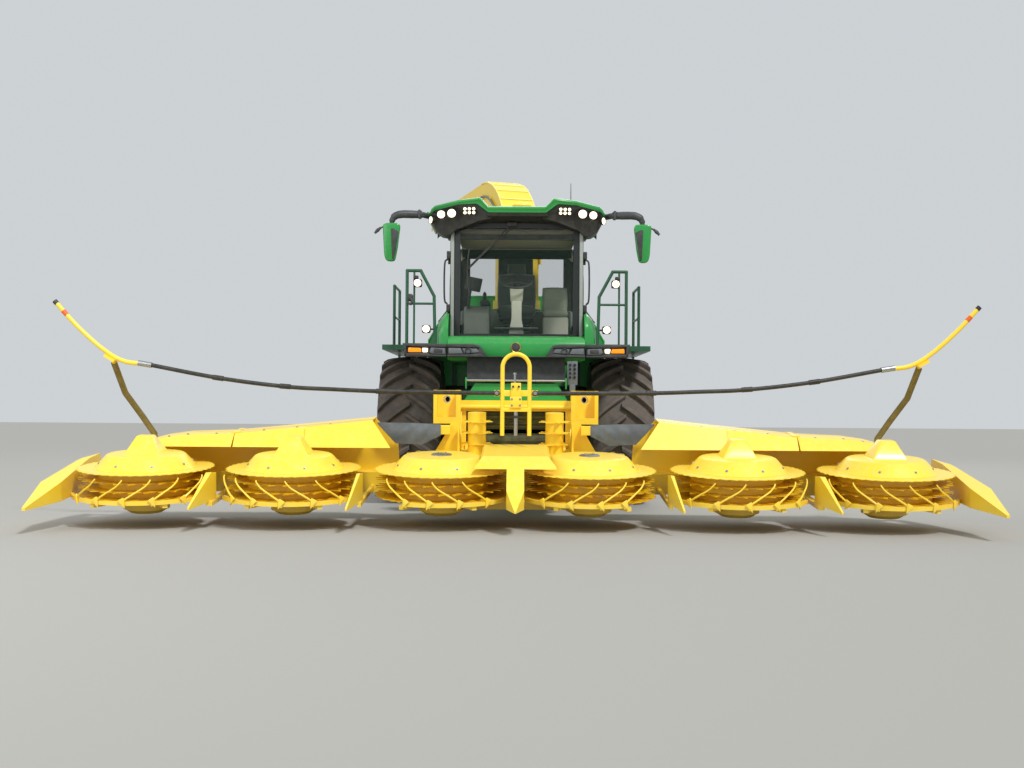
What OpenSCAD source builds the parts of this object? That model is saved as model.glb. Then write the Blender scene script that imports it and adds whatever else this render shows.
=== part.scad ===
// Self-propelled forage harvester with a folding six-rotor maize header.
// Millimetres. The machine faces -Y, its left side is +X, the ground is Z = 0,
// and Y = 0 is the front axle.

/* [Wheels and axles] */
// Distance from the front axle to the steered rear axle
wheelbase = 3050; // [2900:10:3200]
// Front wheels, tyre centre to tyre centre
front_track = 2640; // [2600:10:2700]
// Front tyre, over the lug tips
front_tyre_d = 1853; // [1780:1:1853]
// Front tyre width
front_tyre_w = 780; // [700:5:790]
// Front rim, over its flanges
front_rim_d = 870; // [840:5:900]
// Rear wheels, tyre centre to tyre centre
rear_track = 2500; // [2460:10:2560]
// Rear tyre, over the lug tips
rear_tyre_d = 1470; // [1400:5:1480]
// Rear tyre width
rear_tyre_w = 540; // [480:5:560]
// Rear rim, over its flanges
rear_rim_d = 800; // [760:5:840]

/* [Frame and body] */
// Half distance between the long rails' inner faces
rail_in = 380; // [360:5:400]
// Width of one long rail
rail_w = 100; // [80:5:110]
// Underside of the long rails
rail_z = 1000; // [980:5:1010]
// Height of the long rails
rail_h = 180; // [160:5:200]
// Rear end of the machine
rear_end = 4650; // [4600:5:4700]
// Bore of the rear tow clevis
tow_pin_d = 32; // [28:1:40]
// Half width of the rear body
body_half_w = 1250; // [1220:5:1260]
// Sheet thickness of the body panels
panel_t = 30; // [20:1:40]
// Top of the rear hood
hood_top = 2780; // [2700:10:2800]
// Engine block length
engine_l = 1500; // [1300:10:1600]

/* [Cab] */
// Half width of the cab
cab_half_w = 800; // [780:5:810]
// Front wall of the cab
cab_front = -1120; // [-1140:5:-1100]
// Rear wall of the cab
cab_rear = 550; // [520:5:580]
// Underside of the cab floor
cab_floor = 1960; // [1950:1:1970]
// Top of the cab pillars
cab_top = 3290; // [3270:1:3300]
// Thickness of the cab's walls, pillars and doors
wall_t = 60; // [50:1:70]
// Width of the door opening
door_l = 1100; // [1050:5:1120]
// Half width of the roof
roof_half_w = 1060; // [1020:5:1080]

/* [Spout] */
// Distance of the spout turret behind the front axle
spout_y = 1250; // [1230:5:1270]
// Turned towards the right side from straight back
spout_yaw = 20; // [0:1:25]
// Width of the spout channel
spout_w = 480; // [420:5:500]
// Outer radius of the elbow
elbow_r = 1000; // [950:10:1050]
// Height of the channel
channel_h = 430; // [380:5:460]
// Straight run behind the elbow
boom_l = 2100; // [1900:10:2150]
// Sheet thickness of the spout
spout_t = 12; // [8:1:16]

/* [Header] */
// Distance between two neighbouring rotors
rotor_pitch = 1500; // [1490:1:1510]
// Rotor row, measured from the front axle
rotor_y = -3450; // [-3500:5:-3400]
// Height of the knife discs at the rotor axes
knife_z = 330; // [320:1:345]
// Forward tilt of the header
header_tilt = 5; // [3:0.5:6]
// Radius over the teeth of the rotor discs
disc_r = 680; // [660:1:690]
// Thickness of the rotor discs
disc_t = 7; // [5:1:10]
// Radius of the rotor drum
drum_r = 470; // [440:1:480]
// Height from the knife disc to the top disc
drum_h = 255; // [245:1:260]
// Base radius of the rotor's dome
dome_r = 495; // [480:1:500]
// Top radius of the rotor's dome
dome_top_r = 375; // [360:1:390]
// Height of the rotor's dome
dome_h = 138; // [130:1:145]
// Distance of the wing's fold axis from the machine's centre line
fold_x = 1050; // [1030:5:1060]
// Height of the wing's fold axis over the knife discs
fold_z = 270; // [260:1:280]

/* [Hidden] */
$fn = 64;
fit = 0.05;
seat = 0.3;
front_r = front_tyre_d / 2;
rear_r = rear_tyre_d / 2;
rail_top = rail_z + rail_h;
rail_out = rail_in + rail_w;
hub_r = 80;
// Feeder: its pivot, its half width and its front flange
pivot_y = -850;
pivot_z = 1300;
pivot_r = 40;
feeder_half_w = 600;
feeder_t = 40;
feeder_front = -2100;
// Fixed carrier frame of the header
carrier_t = 60;
carrier_front = feeder_front - carrier_t;
// Header heights over the knife discs
dome_z = drum_h + disc_t;
dome_top_z = dome_z + dome_h;
// Rows of rotors: distance from the centre line in pitches
ROTOR_STEP = [0.5, 1.5, 2.5];
// Outermost rotor, and the seam between a wing's two covers
outer = 2.5 * rotor_pitch;
seam = 2 * rotor_pitch - 50;
beam_y = 700;
beam_w = 200;
beam_z = -100;
beam_h = 220;
shaft_r = 60;
canvas_y = 700;
canvas_t = 12;
// Body layout behind the cab
body_floor = 1500;
deck_z = 2050;
hood_front = 1650;
body_front = 1000;
hood_rear = rear_end - 150;
platform_z = 1900;
platform_t = 60;
// Turret
turret_r = 330;
turret_z = 2560;
riser_top = 3300;
boom_drop = 3;

// Helpers

// A box from its lowest to its highest corner
module block(low, high)
    translate(low) cube([high[0] - low[0], high[1] - low[1], high[2] - low[2]]);

// The part on the left side (1) or mirrored to the right side (-1)
module side(s) mirror([s < 0 ? 1 : 0, 0, 0]) children();

// Both sides
module both() { children(); mirror([1, 0, 0]) children(); }

// An outline in X and Z, extruded from y0 to y1
module front_view(points, y0, y1)
    translate([0, y1, 0]) rotate([90, 0, 0]) linear_extrude(y1 - y0) polygon(points);

// An outline in Y and Z, extruded from x0 to x1
module side_view(points, x0, x1)
    translate([x0, 0, 0]) rotate([90, 0, 90]) linear_extrude(x1 - x0) polygon(points);

// An outline in X and Y, extruded from z0 to z1
module plan(points, z0, z1)
    translate([0, 0, z0]) linear_extrude(z1 - z0) polygon(points);

// A round bar between two points
module rod(a, b, r) {
    d = b - a;
    l = norm(d);
    translate(a)
        rotate([0, acos(d[2] / l), atan2(d[1], d[0])])
            cylinder(h = l, r = r, $fn = 24);
}

// A bent round bar through the points, with a ball at each bend
module bent_rod(points, r) {
    for (i = [0 : len(points) - 2]) rod(points[i], points[i + 1], r);
    for (i = [1 : len(points) - 2]) translate(points[i]) sphere(r = r + 1, $fn = 24);
}

// A pipe in straight lengths, joined by a sleeve at each of its small bends
module sleeved_pipe(points, r) {
    last = len(points) - 1;
    along = [for (i = [0 : last - 1]) (points[i + 1] - points[i]) / norm(points[i + 1] - points[i])];
    for (i = [0 : last - 1])
        rod(points[i] + (i > 0 ? 6 : 0) * along[i], points[i + 1] - (i < last - 1 ? 6 : 0) * along[i], r);
    for (i = [1 : last - 1]) {
        d = (along[i - 1] + along[i]) / norm(along[i - 1] + along[i]);
        rod(points[i] - 13 * d, points[i] + 13 * d, r + 5);
    }
}

// A hinge round the Z axis: the fixed part (0) with its pin and outer barrels, or the moving
// part's middle barrel (1); the leaves reach in to x = -reach
module hinge(part, reach) {
    pin_r = 8;
    barrel_r = 16;
    mid = 60;
    end = 30;
    if (part == 0) {
        cylinder(h = mid + 2 * end, r = pin_r, center = true);
        for (z = [-mid / 2 - end, mid / 2]) {
            translate([0, 0, z]) cylinder(h = end, r = barrel_r);
            block([-reach, -34, z], [0, -1, z + end]);
        }
    } else difference() {
        union() {
            cylinder(h = mid - 2, r = barrel_r, center = true);
            block([-reach, 1, -mid / 2 + 1], [0, 34, mid / 2 - 1]);
        }
        cylinder(h = mid, r = pin_r + fit, center = true);
    }
}

// The header's own frame: origin on the rotor row at the height of the knife discs
module in_header() translate([0, rotor_y, knife_z]) rotate([header_tilt, 0, 0]) children();

// Outline of a toothed disc
function toothed(n, root, tip) = [for (i = [0 : n - 1], k = [0, 1])
    let (a = (i + k * 0.25) * 360 / n, r = k == 0 ? root : tip) [r * cos(a), r * sin(a)]];

// Chassis

module chassis() color("#2f6b35") {
    difference() {
        union() {
            both() block([rail_in, -700, rail_z], [rail_out, rear_end - 300, rail_top]);
            for (y = [1560, 2140, 4200])
                block([-rail_in, y, rail_z + 20], [rail_in, y + 80, rail_top - 20]);
            // chopper housing between the rails and blower shaft up to the turret
            block([-rail_in, -700, rail_z], [rail_in, 1460, 1450]);
            block([-300, 1045, 1450], [300, 1460, turret_z - 60]);
            translate([0, spout_y, turret_z - 60]) cylinder(h = 60, r = turret_r);
            // cross member with the feeder's pivot lugs
            block([-650, -700, rail_top], [650, -620, 1420]);
            both() block([610, -920, 1220], [650, -620, 1380]);
            // cab pedestals
            for (y = [-560, 420]) {
                both() block([rail_in, y, rail_top], [rail_out, y + 90, 1760]);
            }
            // body carriers
            for (y = [1480, 4120]) {
                both() block([rail_in, y, rail_top], [rail_out, y + 80, body_floor]);
                block([-body_half_w + 60, y, body_floor - 60], [body_half_w - 60, y + 80, body_floor]);
            }
            // rear ballast
            block([-900, rear_end - 300, 720], [900, rear_end, rail_top - 20]);
        }
        both() translate([600, pivot_y, pivot_z]) rotate([0, 90, 0]) cylinder(h = 60, r = pivot_r + fit);
        block([-120, rear_end - 140, 719], [120, rear_end + 1, rail_top]);
        // crop duct through the blower shaft
        block([-260, 1085, 1400], [260, 1420, turret_z + 10]);
        block([-340, -760, 1060], [340, 1420, 1410]);
    }
    // tow clevis in the ballast's notch
    for (z = [760, 880]) difference() {
        block([-60, rear_end - 141, z], [60, rear_end - 10, z + 30]);
        translate([0, rear_end - 60, z - 1]) cylinder(h = 32, r = tow_pin_d / 2);
    }
}

module engine() color("#8a8d88")
    block([-rail_out, 2400, rail_top], [rail_out, 2400 + engine_l, 1960]);

module front_axle() color("#3a3d3a") {
    z = front_r;
    // beam under the rails, final drives and wheel flanges
    block([-rail_out, -180, z - 150], [rail_out, 180, rail_z]);
    both() {
        translate([rail_out, 0, z]) rotate([0, 90, 0]) cylinder(h = 420, r = 170);
        translate([rail_out + 320, 0, z]) rotate([0, 90, 0])
            cylinder(h = front_track / 2 - 60 - rail_out - 320, r = 290);
        translate([front_track / 2 - 60, 0, z]) rotate([0, 90, 0]) cylinder(h = 90, r = hub_r);
    }
}

module rear_axle() color("#3a3d3a") {
    difference() {
        union() {
            block([-760, wheelbase - 90, rear_r - 90], [760, wheelbase + 90, rear_r + 80]);
            block([-300, wheelbase - 160, rear_r + 80], [300, wheelbase + 160, rail_z]);
            block([-rail_out, wheelbase - 160, rail_z - 60], [rail_out, wheelbase + 160, rail_z]);
            both() translate([kingpin_x, wheelbase, rear_r - 90]) cylinder(h = 170, r = 110);
        }
        both() translate([kingpin_x, wheelbase, rear_r - 100]) cylinder(h = 200, r = 45 + fit);
    }
}
kingpin_x = 850;

// Steering knuckle: a fork over and under the axle's end, its kingpin and the wheel spindle
module knuckle(s) color("#3a3d3a") side(s) {
    z = rear_r;
    translate([kingpin_x, wheelbase, z - 160]) cylinder(h = 310, r = 45);
    translate([kingpin_x, wheelbase, z - 170]) cylinder(h = 75, r = 95);
    translate([kingpin_x, wheelbase, z + 85]) cylinder(h = 75, r = 95);
    block([kingpin_x, wheelbase - 80, z - 170], [kingpin_x + 180, wheelbase + 80, z - 95]);
    block([kingpin_x, wheelbase - 80, z + 85], [kingpin_x + 180, wheelbase + 80, z + 160]);
    block([kingpin_x + 120, wheelbase - 80, z - 170], [kingpin_x + 180, wheelbase + 80, z + 160]);
    translate([kingpin_x + 180, wheelbase, z]) rotate([0, 90, 0])
        cylinder(h = rear_track / 2 - 40 - kingpin_x - 180, r = 150);
    translate([rear_track / 2 - 40, wheelbase, z]) rotate([0, 90, 0]) cylinder(h = 90, r = hub_r);
}

// Wheels: the profile's rows are the radius and half width from the bead to the crown

module tyre(r, w, rim_r) {
    h = w / 2;
    flank = [[rim_r, h - 70], [rim_r + 60, h - 30], [(r + rim_r) / 2, h], [r - 90, h - 20], [r - 12, h - 50]];
    profile = concat([for (p = flank) [p[0], -p[1]]], [[r, 0]],
        [for (i = [len(flank) - 1 : -1 : 0]) flank[i]], [[rim_r - 12, h - 76], [rim_r - 12, -h + 76]]);
    color("#23211f") rotate([0, 90, 0]) rotate_extrude($fn = 96) polygon(profile);
}

// Rim with its drop centre and a dished disc; the wheel flange lies against the disc's inner face
module rim(w, rim_r, disc_x) {
    h = w / 2 - 70;
    barrel_r = rim_r - 12;
    color("#f2c400") difference() {
        union() {
            rotate([0, 90, 0]) rotate_extrude($fn = 96) polygon([
                [rim_r, -h], [rim_r, -h - 14], [barrel_r - 30, -h - 14], [barrel_r - 30, -h + 40],
                [barrel_r - 60, -h + 90], [barrel_r - 60, h - 90], [barrel_r - 30, h - 40],
                [barrel_r - 30, h + 14], [rim_r, h + 14], [rim_r, h], [barrel_r - 12, h],
                [barrel_r - 12, h - 46], [barrel_r - 45, h - 96], [barrel_r - 45, -h + 96],
                [barrel_r - 12, -h + 46], [barrel_r - 12, -h]]);
            translate([disc_x, 0, 0]) rotate([0, 90, 0]) cylinder(h = 24, r = barrel_r - 50);
            translate([disc_x, 0, 0]) rotate([0, 90, 0]) cylinder(h = 110, r = 165);
        }
        translate([disc_x - 10, 0, 0]) rotate([0, 90, 0]) cylinder(h = 105, r = hub_r + fit);
        for (i = [0 : 7]) rotate([i * 45, 0, 0])
            translate([disc_x - 10, 0, barrel_r - 140]) rotate([0, 90, 0]) cylinder(h = 60, r = 38);
    }
}

module front_wheel_at(s) side(s) translate([front_track / 2, 0, front_r]) children();
module rear_wheel_at(s) side(s) translate([rear_track / 2, wheelbase, rear_r]) children();

module tyre_front(s) front_wheel_at(s) tyre(front_r, front_tyre_w, front_rim_d / 2);
module tyre_rear(s) rear_wheel_at(s) tyre(rear_r, rear_tyre_w, rear_rim_d / 2);
module rim_front(s) front_wheel_at(s) rim(front_tyre_w, front_rim_d / 2, -60 + seat);
module rim_rear(s) rear_wheel_at(s) rim(rear_tyre_w, rear_rim_d / 2, -40 + seat);

// Body behind the cab

// Cross section of the hood; a positive inset gives its inner face
function hood_outline(inset) = [[-body_half_w + 50 + inset, body_floor - 1], [-body_half_w + inset, 2150],
    [-body_half_w + 130 + inset, 2380], [-820 + inset * 0.6, hood_top - inset],
    [820 - inset * 0.6, hood_top - inset], [body_half_w - 130 - inset, 2380],
    [body_half_w - inset, 2150], [body_half_w - 50 - inset, body_floor - 1]];

// The service doors and the rear door: [low, high] edges of their openings
SERVICE_Y = [1800, 3300];
SERVICE_Z = [1620, 2140];
REAR_X = 820;
REAR_Z = [1560, 2560];

module at_service_hinges() for (z = [1740, 2040]) translate([body_half_w + 18, SERVICE_Y[0] + 3, z]) children();
module at_rear_hinges() for (z = [1720, 2400]) translate([REAR_X - 3, hood_rear + 18, z]) rotate([0, 0, 90]) children();

module tanks() color("#26382a") both() {
    block([620, body_front + 60, 1060], [1160, 1990, body_floor - 60]);
    block([rail_out, 1200, 1100], [620, 1280, 1180]);
    block([rail_out, 1800, 1100], [620, 1880, 1180]);
}

module body_panels() color("#2f7d32") {
    difference() {
        intersection() {
            front_view(hood_outline(0), hood_front, hood_rear);
            block([-2000, 0, body_floor], [2000, 5000, 3000]);
        }
        intersection() {
            front_view(hood_outline(panel_t), hood_front + panel_t, hood_rear - panel_t);
            block([-2000, 0, 1000], [2000, 5000, 3000]);
        }
        // service doors and rear door
        block([-2000, SERVICE_Y[0], SERVICE_Z[0]], [2000, SERVICE_Y[1], SERVICE_Z[1]]);
        block([-REAR_X, hood_rear - 100, REAR_Z[0]], [REAR_X, hood_rear + 100, REAR_Z[1]]);
    }
    both() at_service_hinges() hinge(0, 60);
    at_rear_hinges() hinge(0, 40);
    // low deck in front of the hood, with the spout's shaft through it
    difference() {
        block([-1200, body_front, body_floor], [1200, hood_front, deck_z]);
        block([-1200 + panel_t, body_front + panel_t, 1000], [1200 - panel_t, hood_front + 1, deck_z - panel_t]);
        translate([0, spout_y, 1000]) cylinder(h = 1200, r = turret_r + 40);
    }
}

// Two side doors under the hood's shoulders, hinged at their front edges
module service_door(s) color("#2f7d32") side(s) {
    gap = 6;
    difference() {
        intersection() {
            front_view(hood_outline(0), SERVICE_Y[0] + gap, SERVICE_Y[1] - gap);
            block([1000, 0, SERVICE_Z[0] + gap], [2000, 5000, SERVICE_Z[1] - gap]);
        }
        front_view(hood_outline(panel_t), SERVICE_Y[0], SERVICE_Y[1]);
    }
    at_service_hinges() hinge(1, 60);
}

module rear_door() color("#20231f") difference() {
    gap = 6;
    union() {
        block([-REAR_X + gap, hood_rear - panel_t, REAR_Z[0] + gap], [REAR_X - gap, hood_rear, REAR_Z[1] - gap]);
        at_rear_hinges() hinge(1, 40);
    }
    // louvre slots
    for (i = [0 : 10]) block([-REAR_X + 110, hood_rear - panel_t - 1, 1650 + i * 80],
        [REAR_X - 110, hood_rear - panel_t + 18, 1690 + i * 80]);
}

// Front of the machine

cowl_front = -1420;

module cowl() color("#2f8b35") {
    // floor box under the cab
    difference() {
        block([-cab_half_w + 10, cab_front - 20, 1760], [cab_half_w - 10, cab_rear, cab_floor]);
        block([-cab_half_w + 50, cab_front + 20, 1700], [cab_half_w - 50, cab_rear - 40, cab_floor - 30]);
    }
    // nose under the windscreen
    intersection() {
        front_view([[-520, 1700], [520, 1700], [cab_half_w + 10, 1900], [cab_half_w - 20, 2200],
            [-cab_half_w + 20, 2200], [-cab_half_w - 10, 1900]], cowl_front, cab_front - 20);
        side_view([[cowl_front, 1760], [cab_front - 20, 1760], [cab_front - 20, 2085],
            [cowl_front + 60, 2040], [cowl_front, 1960]], -900, 900);
    }
    // side pods beside the windscreen
    both() difference() {
        block([cab_half_w + 6, cab_front - 240, platform_z + platform_t], [cab_half_w + 140, cab_front + 70, 2330]);
        translate([cab_half_w + 6, 0, 2330]) rotate([0, 35, 0]) block([0, -2000, 0], [400, 0, 400]);
        translate([0, cab_front - 240, 2330]) rotate([-48, 0, 0]) block([0, -400, -100], [2000, 0, 400]);
    }
    both() block([cab_half_w - 20, cab_front - 240, 1900], [cab_half_w + 140, cab_front - 20, platform_z + platform_t]);
}

module lamp_bar() color("#1d1f21") {
    front_view([[-1340, 1730], [1340, 1730], [1340, 1900], [560, 1900], [400, 1765], [-400, 1765],
        [-560, 1900], [-1340, 1900]], cowl_front - 180, cowl_front - seat);
    // rubber apron behind the feeder
    block([-600, cowl_front - 20, 1500], [600, cowl_front - seat, 1731]);
}

// Cab

CAB_HINGE_Z = [2360, 3000];
DOOR_Y = [cab_front + 110, cab_front + 110 + door_l];
DOOR_Z = [cab_floor + 70, cab_top - 60];

// Hinge axis of the left cab door
module at_cab_hinges() for (z = CAB_HINGE_Z) translate([cab_half_w + 18, DOOR_Y[0] + 3, z]) children();

module cab_shell() color("#20241f") difference() {
    union() {
        block([-cab_half_w, cab_front, cab_floor], [cab_half_w, cab_rear, cab_top]);
        both() at_cab_hinges() hinge(0, 40);
    }
    block([-cab_half_w + wall_t, cab_front + wall_t, cab_floor + 50],
        [cab_half_w - wall_t, cab_rear - wall_t, cab_top + 1]);
    // windscreen, rear window, doors and rear side windows
    block([-cab_half_w + 90, cab_front - 10, cab_floor + 115], [cab_half_w - 90, cab_front + wall_t + 10, cab_top - 60]);
    block([-620, cab_rear - wall_t - 10, 2500], [620, cab_rear + 10, cab_top - 90]);
    block([-cab_half_w - 10, DOOR_Y[0], DOOR_Z[0]], [cab_half_w + 10, DOOR_Y[1], DOOR_Z[1]]);
    block([-cab_half_w - 10, DOOR_Y[1] + 70, 2300], [cab_half_w + 10, cab_rear - 90, DOOR_Z[1]]);
}

module cab_glass() color("#9fb8b4") {
    pane = 8;
    block([-cab_half_w + 90, cab_front + 10, cab_floor + 115], [cab_half_w - 90, cab_front + 10 + pane, cab_top - 60]);
    block([-620, cab_rear - 20 - pane, 2500], [620, cab_rear - 20, cab_top - 90]);
    both() block([cab_half_w - 20 - pane, DOOR_Y[1] + 70, 2300], [cab_half_w - 20, cab_rear - 90, DOOR_Z[1]]);
}

// A door as thick as the wall, hinged at its front edge, with its pane
module cab_door(s) color("#20241f") side(s) {
    gap = 6;
    edge = 60;
    low = [cab_half_w - wall_t, DOOR_Y[0] + gap, DOOR_Z[0] + gap];
    high = [cab_half_w, DOOR_Y[1] - gap, DOOR_Z[1] - gap];
    difference() {
        block(low, high);
        block([low[0] - 1, low[1] + edge, low[2] + edge], [high[0] + 1, high[1] - edge, high[2] - edge]);
    }
    block([high[0] - 28, low[1] + edge, low[2] + edge], [high[0] - 20, high[1] - edge, high[2] - edge]);
    at_cab_hinges() hinge(1, 40);
}

module cab_roof() color("#2f8b35") {
    half = [for (p = [[0, 315], [350, 315], [560, 415], [700, 422], [roof_half_w - 20, 350], [roof_half_w, 270],
        [roof_half_w, 180], [roof_half_w - 30, 110], [roof_half_w - 130, 10], [cab_half_w, 0], [0, 0]])
        [p[0], cab_top + p[1]]];
    outline = concat(half, [for (i = [len(half) - 1 : -1 : 0]) if (half[i][0] > 0) [-half[i][0], half[i][1]]]);
    intersection() {
        front_view(outline, cab_front - 330, cab_rear + 200);
        plan([[-roof_half_w, cab_front + 60], [-roof_half_w + 160, cab_front - 270], [-400, cab_front - 330],
            [400, cab_front - 330], [roof_half_w - 160, cab_front - 270], [roof_half_w, cab_front + 60],
            [roof_half_w, cab_rear], [roof_half_w - 200, cab_rear + 200], [-roof_half_w + 200, cab_rear + 200],
            [-roof_half_w, cab_rear]], 3000, 4000);
    }
    // receiver dome and aerial
    translate([60, -900, cab_top + 314]) cylinder(h = 60, r = 30);
    translate([60, -900, cab_top + 374]) cylinder(h = 55, r1 = 120, r2 = 60);
    translate([670, -500, cab_top + 410]) cylinder(h = 320, r = 8);
}

module seats() color("#2b2d2c") {
    translate([0, -120, 0]) {
        block([-240, -240, 2380], [240, 240, 2500]);
        block([-230, 240, 2440], [230, 360, 3040]);
        block([-130, -130, cab_floor + 50], [130, 130, 2380]);
    }
    block([330, -330, cab_floor + 50], [660, 60, 2420]);
    block([330, 60, cab_floor + 50], [660, 130, 2760]);
}

module steering_console() color("#33352f") {
    block([-70, -860, cab_floor + 50], [70, -720, 2560]);
    translate([0, -790, 2560]) rotate([20, 0, 0]) {
        cylinder(h = 120, r = 30);
        translate([0, 0, 105]) rotate_extrude() translate([185, 0]) circle(r = 14, $fn = 24);
        for (a = [90, 210, 330]) rotate([0, 0, a]) block([0, -12, 98], [185, 12, 112]);
    }
    // side console with its screen
    block([-660, -600, cab_floor + 50], [-330, 60, 2480]);
    block([-640, -600, 2475], [-440, -550, 2840]);
}

// Mirrors on arms from the roof's front corners
module mirrors() color("#22262a") both() {
    x = roof_half_w + seat;
    z = cab_top + 226;
    block([x, -1045, z - 40], [x + 32, -965, z + 40]);
    rod([x + 26, -1005, z], [x + 170, -1180, z + 34], 26);
    rod([x + 160, -1170, z + 34], [x + 500, -1220, z + 24], 24);
    rod([x + 485, -1219, z + 44], [x + 485, -1219, z - 116], 18);
    block([x + 415, -1260, z - 586], [x + 555, -1180, z - 96]);
}

// Platforms over the front wheels, their handrails and the steps
module platforms() color("#1f5c34") both() {
    block([cab_half_w + 6, cab_front + 80, platform_z], [1620, body_front, platform_z + platform_t]);
    block([cab_half_w + 146, cowl_front + seat, platform_z], [1340, cab_front + 80, platform_z + platform_t]);
    // carriers from the floor box
    for (y = [-300, 300]) block([cab_half_w - 9.7, y, platform_z], [cab_half_w + 10, y + 80, platform_z + platform_t]);
    block([cab_half_w + 10, 700, 1500], [cab_half_w + 60, 780, platform_z]);
    // front handrail
    y = cowl_front + 40;
    z0 = platform_z + platform_t - 5;
    bent_rod([[1295, y, z0], [1295, y, 2820], [1135, y, 2820], [975, y, 2520], [960, y, z0]], 19);
    rod([965, y, 2430], [1295, y, 2430], 14);
    bent_rod([[1210, y, z0], [1210, y, 2820]], 12);
    // side handrail
    bent_rod([[1590, 150, z0], [1590, 150, 2780], [1590, 900, 2780], [1590, 900, z0]], 19);
    rod([1590, 150, 2380], [1590, 900, 2380], 14);
    // steps behind the front wheel
    for (z = [550, 850, 1150, 1450, 1700]) block([1250, 1010 + (1700 - z) * 0.12, z], [1600, 1230, z + 30]);
    for (x = [1240, 1600]) side_view([[1000, platform_z + 60], [1000, 1700], [1140, 500], [1240, 500],
        [1240, platform_z + 60]], x, x + 14);
    block([1240, body_front, platform_z], [1614, 1240, platform_z + platform_t]);
}

// Feeder with its rolls

module feeder_house() color("#2f8b35") {
    top = [[feeder_front, 1480], [-1700, 1480], [-1500, 1330], [-760, 1330]];
    bottom = [[-760, 1030], [-1200, 760], [-1800, 620], [feeder_front, 620]];
    t = feeder_t;
    difference() {
        side_view(concat(top, bottom), -feeder_half_w, feeder_half_w);
        side_view([[feeder_front - 10, 1240], [-1650, 1240], [-1450, 1290], [-750, 1290],
            [-750, 1080], [-1210, 800], [-1800, 660], [feeder_front - 10, 660]],
            -feeder_half_w + t, feeder_half_w - t);
        // the slanted shoulders of the top
        both() translate([feeder_half_w, 0, 1260]) rotate([0, -32, 0]) block([0, -3000, 0], [400, 0, 600]);
        // bearings of the feed rolls
        for (p = ROLLS) translate([-700, p[0], p[1]]) rotate([0, 90, 0]) cylinder(h = 1400, r = 30 + fit);
    }
    both() translate([feeder_half_w, pivot_y, pivot_z]) rotate([0, 90, 0]) cylinder(h = 52, r = pivot_r);
    both() translate([feeder_half_w - seat, pivot_y, pivot_z]) rotate([0, 90, 0]) cylinder(h = 8, r = 90);
}
// Feed rolls: Y and Z of the axis
ROLLS = [[-1930, 1080], [-1930, 800]];

module feed_roll(i) color("#3a3b38") translate([0, ROLLS[i][0], ROLLS[i][1]]) rotate([0, 90, 0]) {
    half = feeder_half_w - feeder_t - 10;
    translate([0, 0, -half]) linear_extrude(2 * half) polygon(toothed(16, 92, 118));
    translate([0, 0, -feeder_half_w + 4]) cylinder(h = 2 * feeder_half_w - 8, r = 30);
}

// Header

// Lower structure under one rotor: arm from the beam, gear case, shaft and skid
module rotor_carrier(x) {
    block([x - 130, -60, -150], [x + 130, beam_y + 20, -40]);
    translate([x, 0, -160]) cylinder(h = 140, r = 230);
    translate([x, 0, -25]) cylinder(h = 180, r = shaft_r);
    translate([x, 0, -200]) cylinder(h = 45, r1 = 160, r2 = 230);
}

// Guard bar round the front of one rotor, between two angles, on struts from the gear case
module guard(x, a0, a1) {
    reach = disc_r + 30;
    translate([x, 0, 0]) rotate([0, 0, a0]) rotate_extrude(angle = a1 - a0)
        translate([disc_r + 14, -22]) square([34, 40]);
    for (a = [240, 300]) translate([x, 0, 0]) rotate([0, 0, a]) block([0, -25, -60], [reach, 25, -18]);
}

// Pointed divider blade between two rotors: from its root to its tip
module divider(x, tip_x, w) {
    intersection() {
        plan([[x - w / 2, -300], [x + w / 2, -300], [tip_x + 8, -930], [tip_x - 8, -930]], -100, 400);
        side_view([[-300, -20], [-300, 250], [-420, 262], [-930, -2], [-930, -22]], x - 400, x + 400);
    }
}

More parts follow.
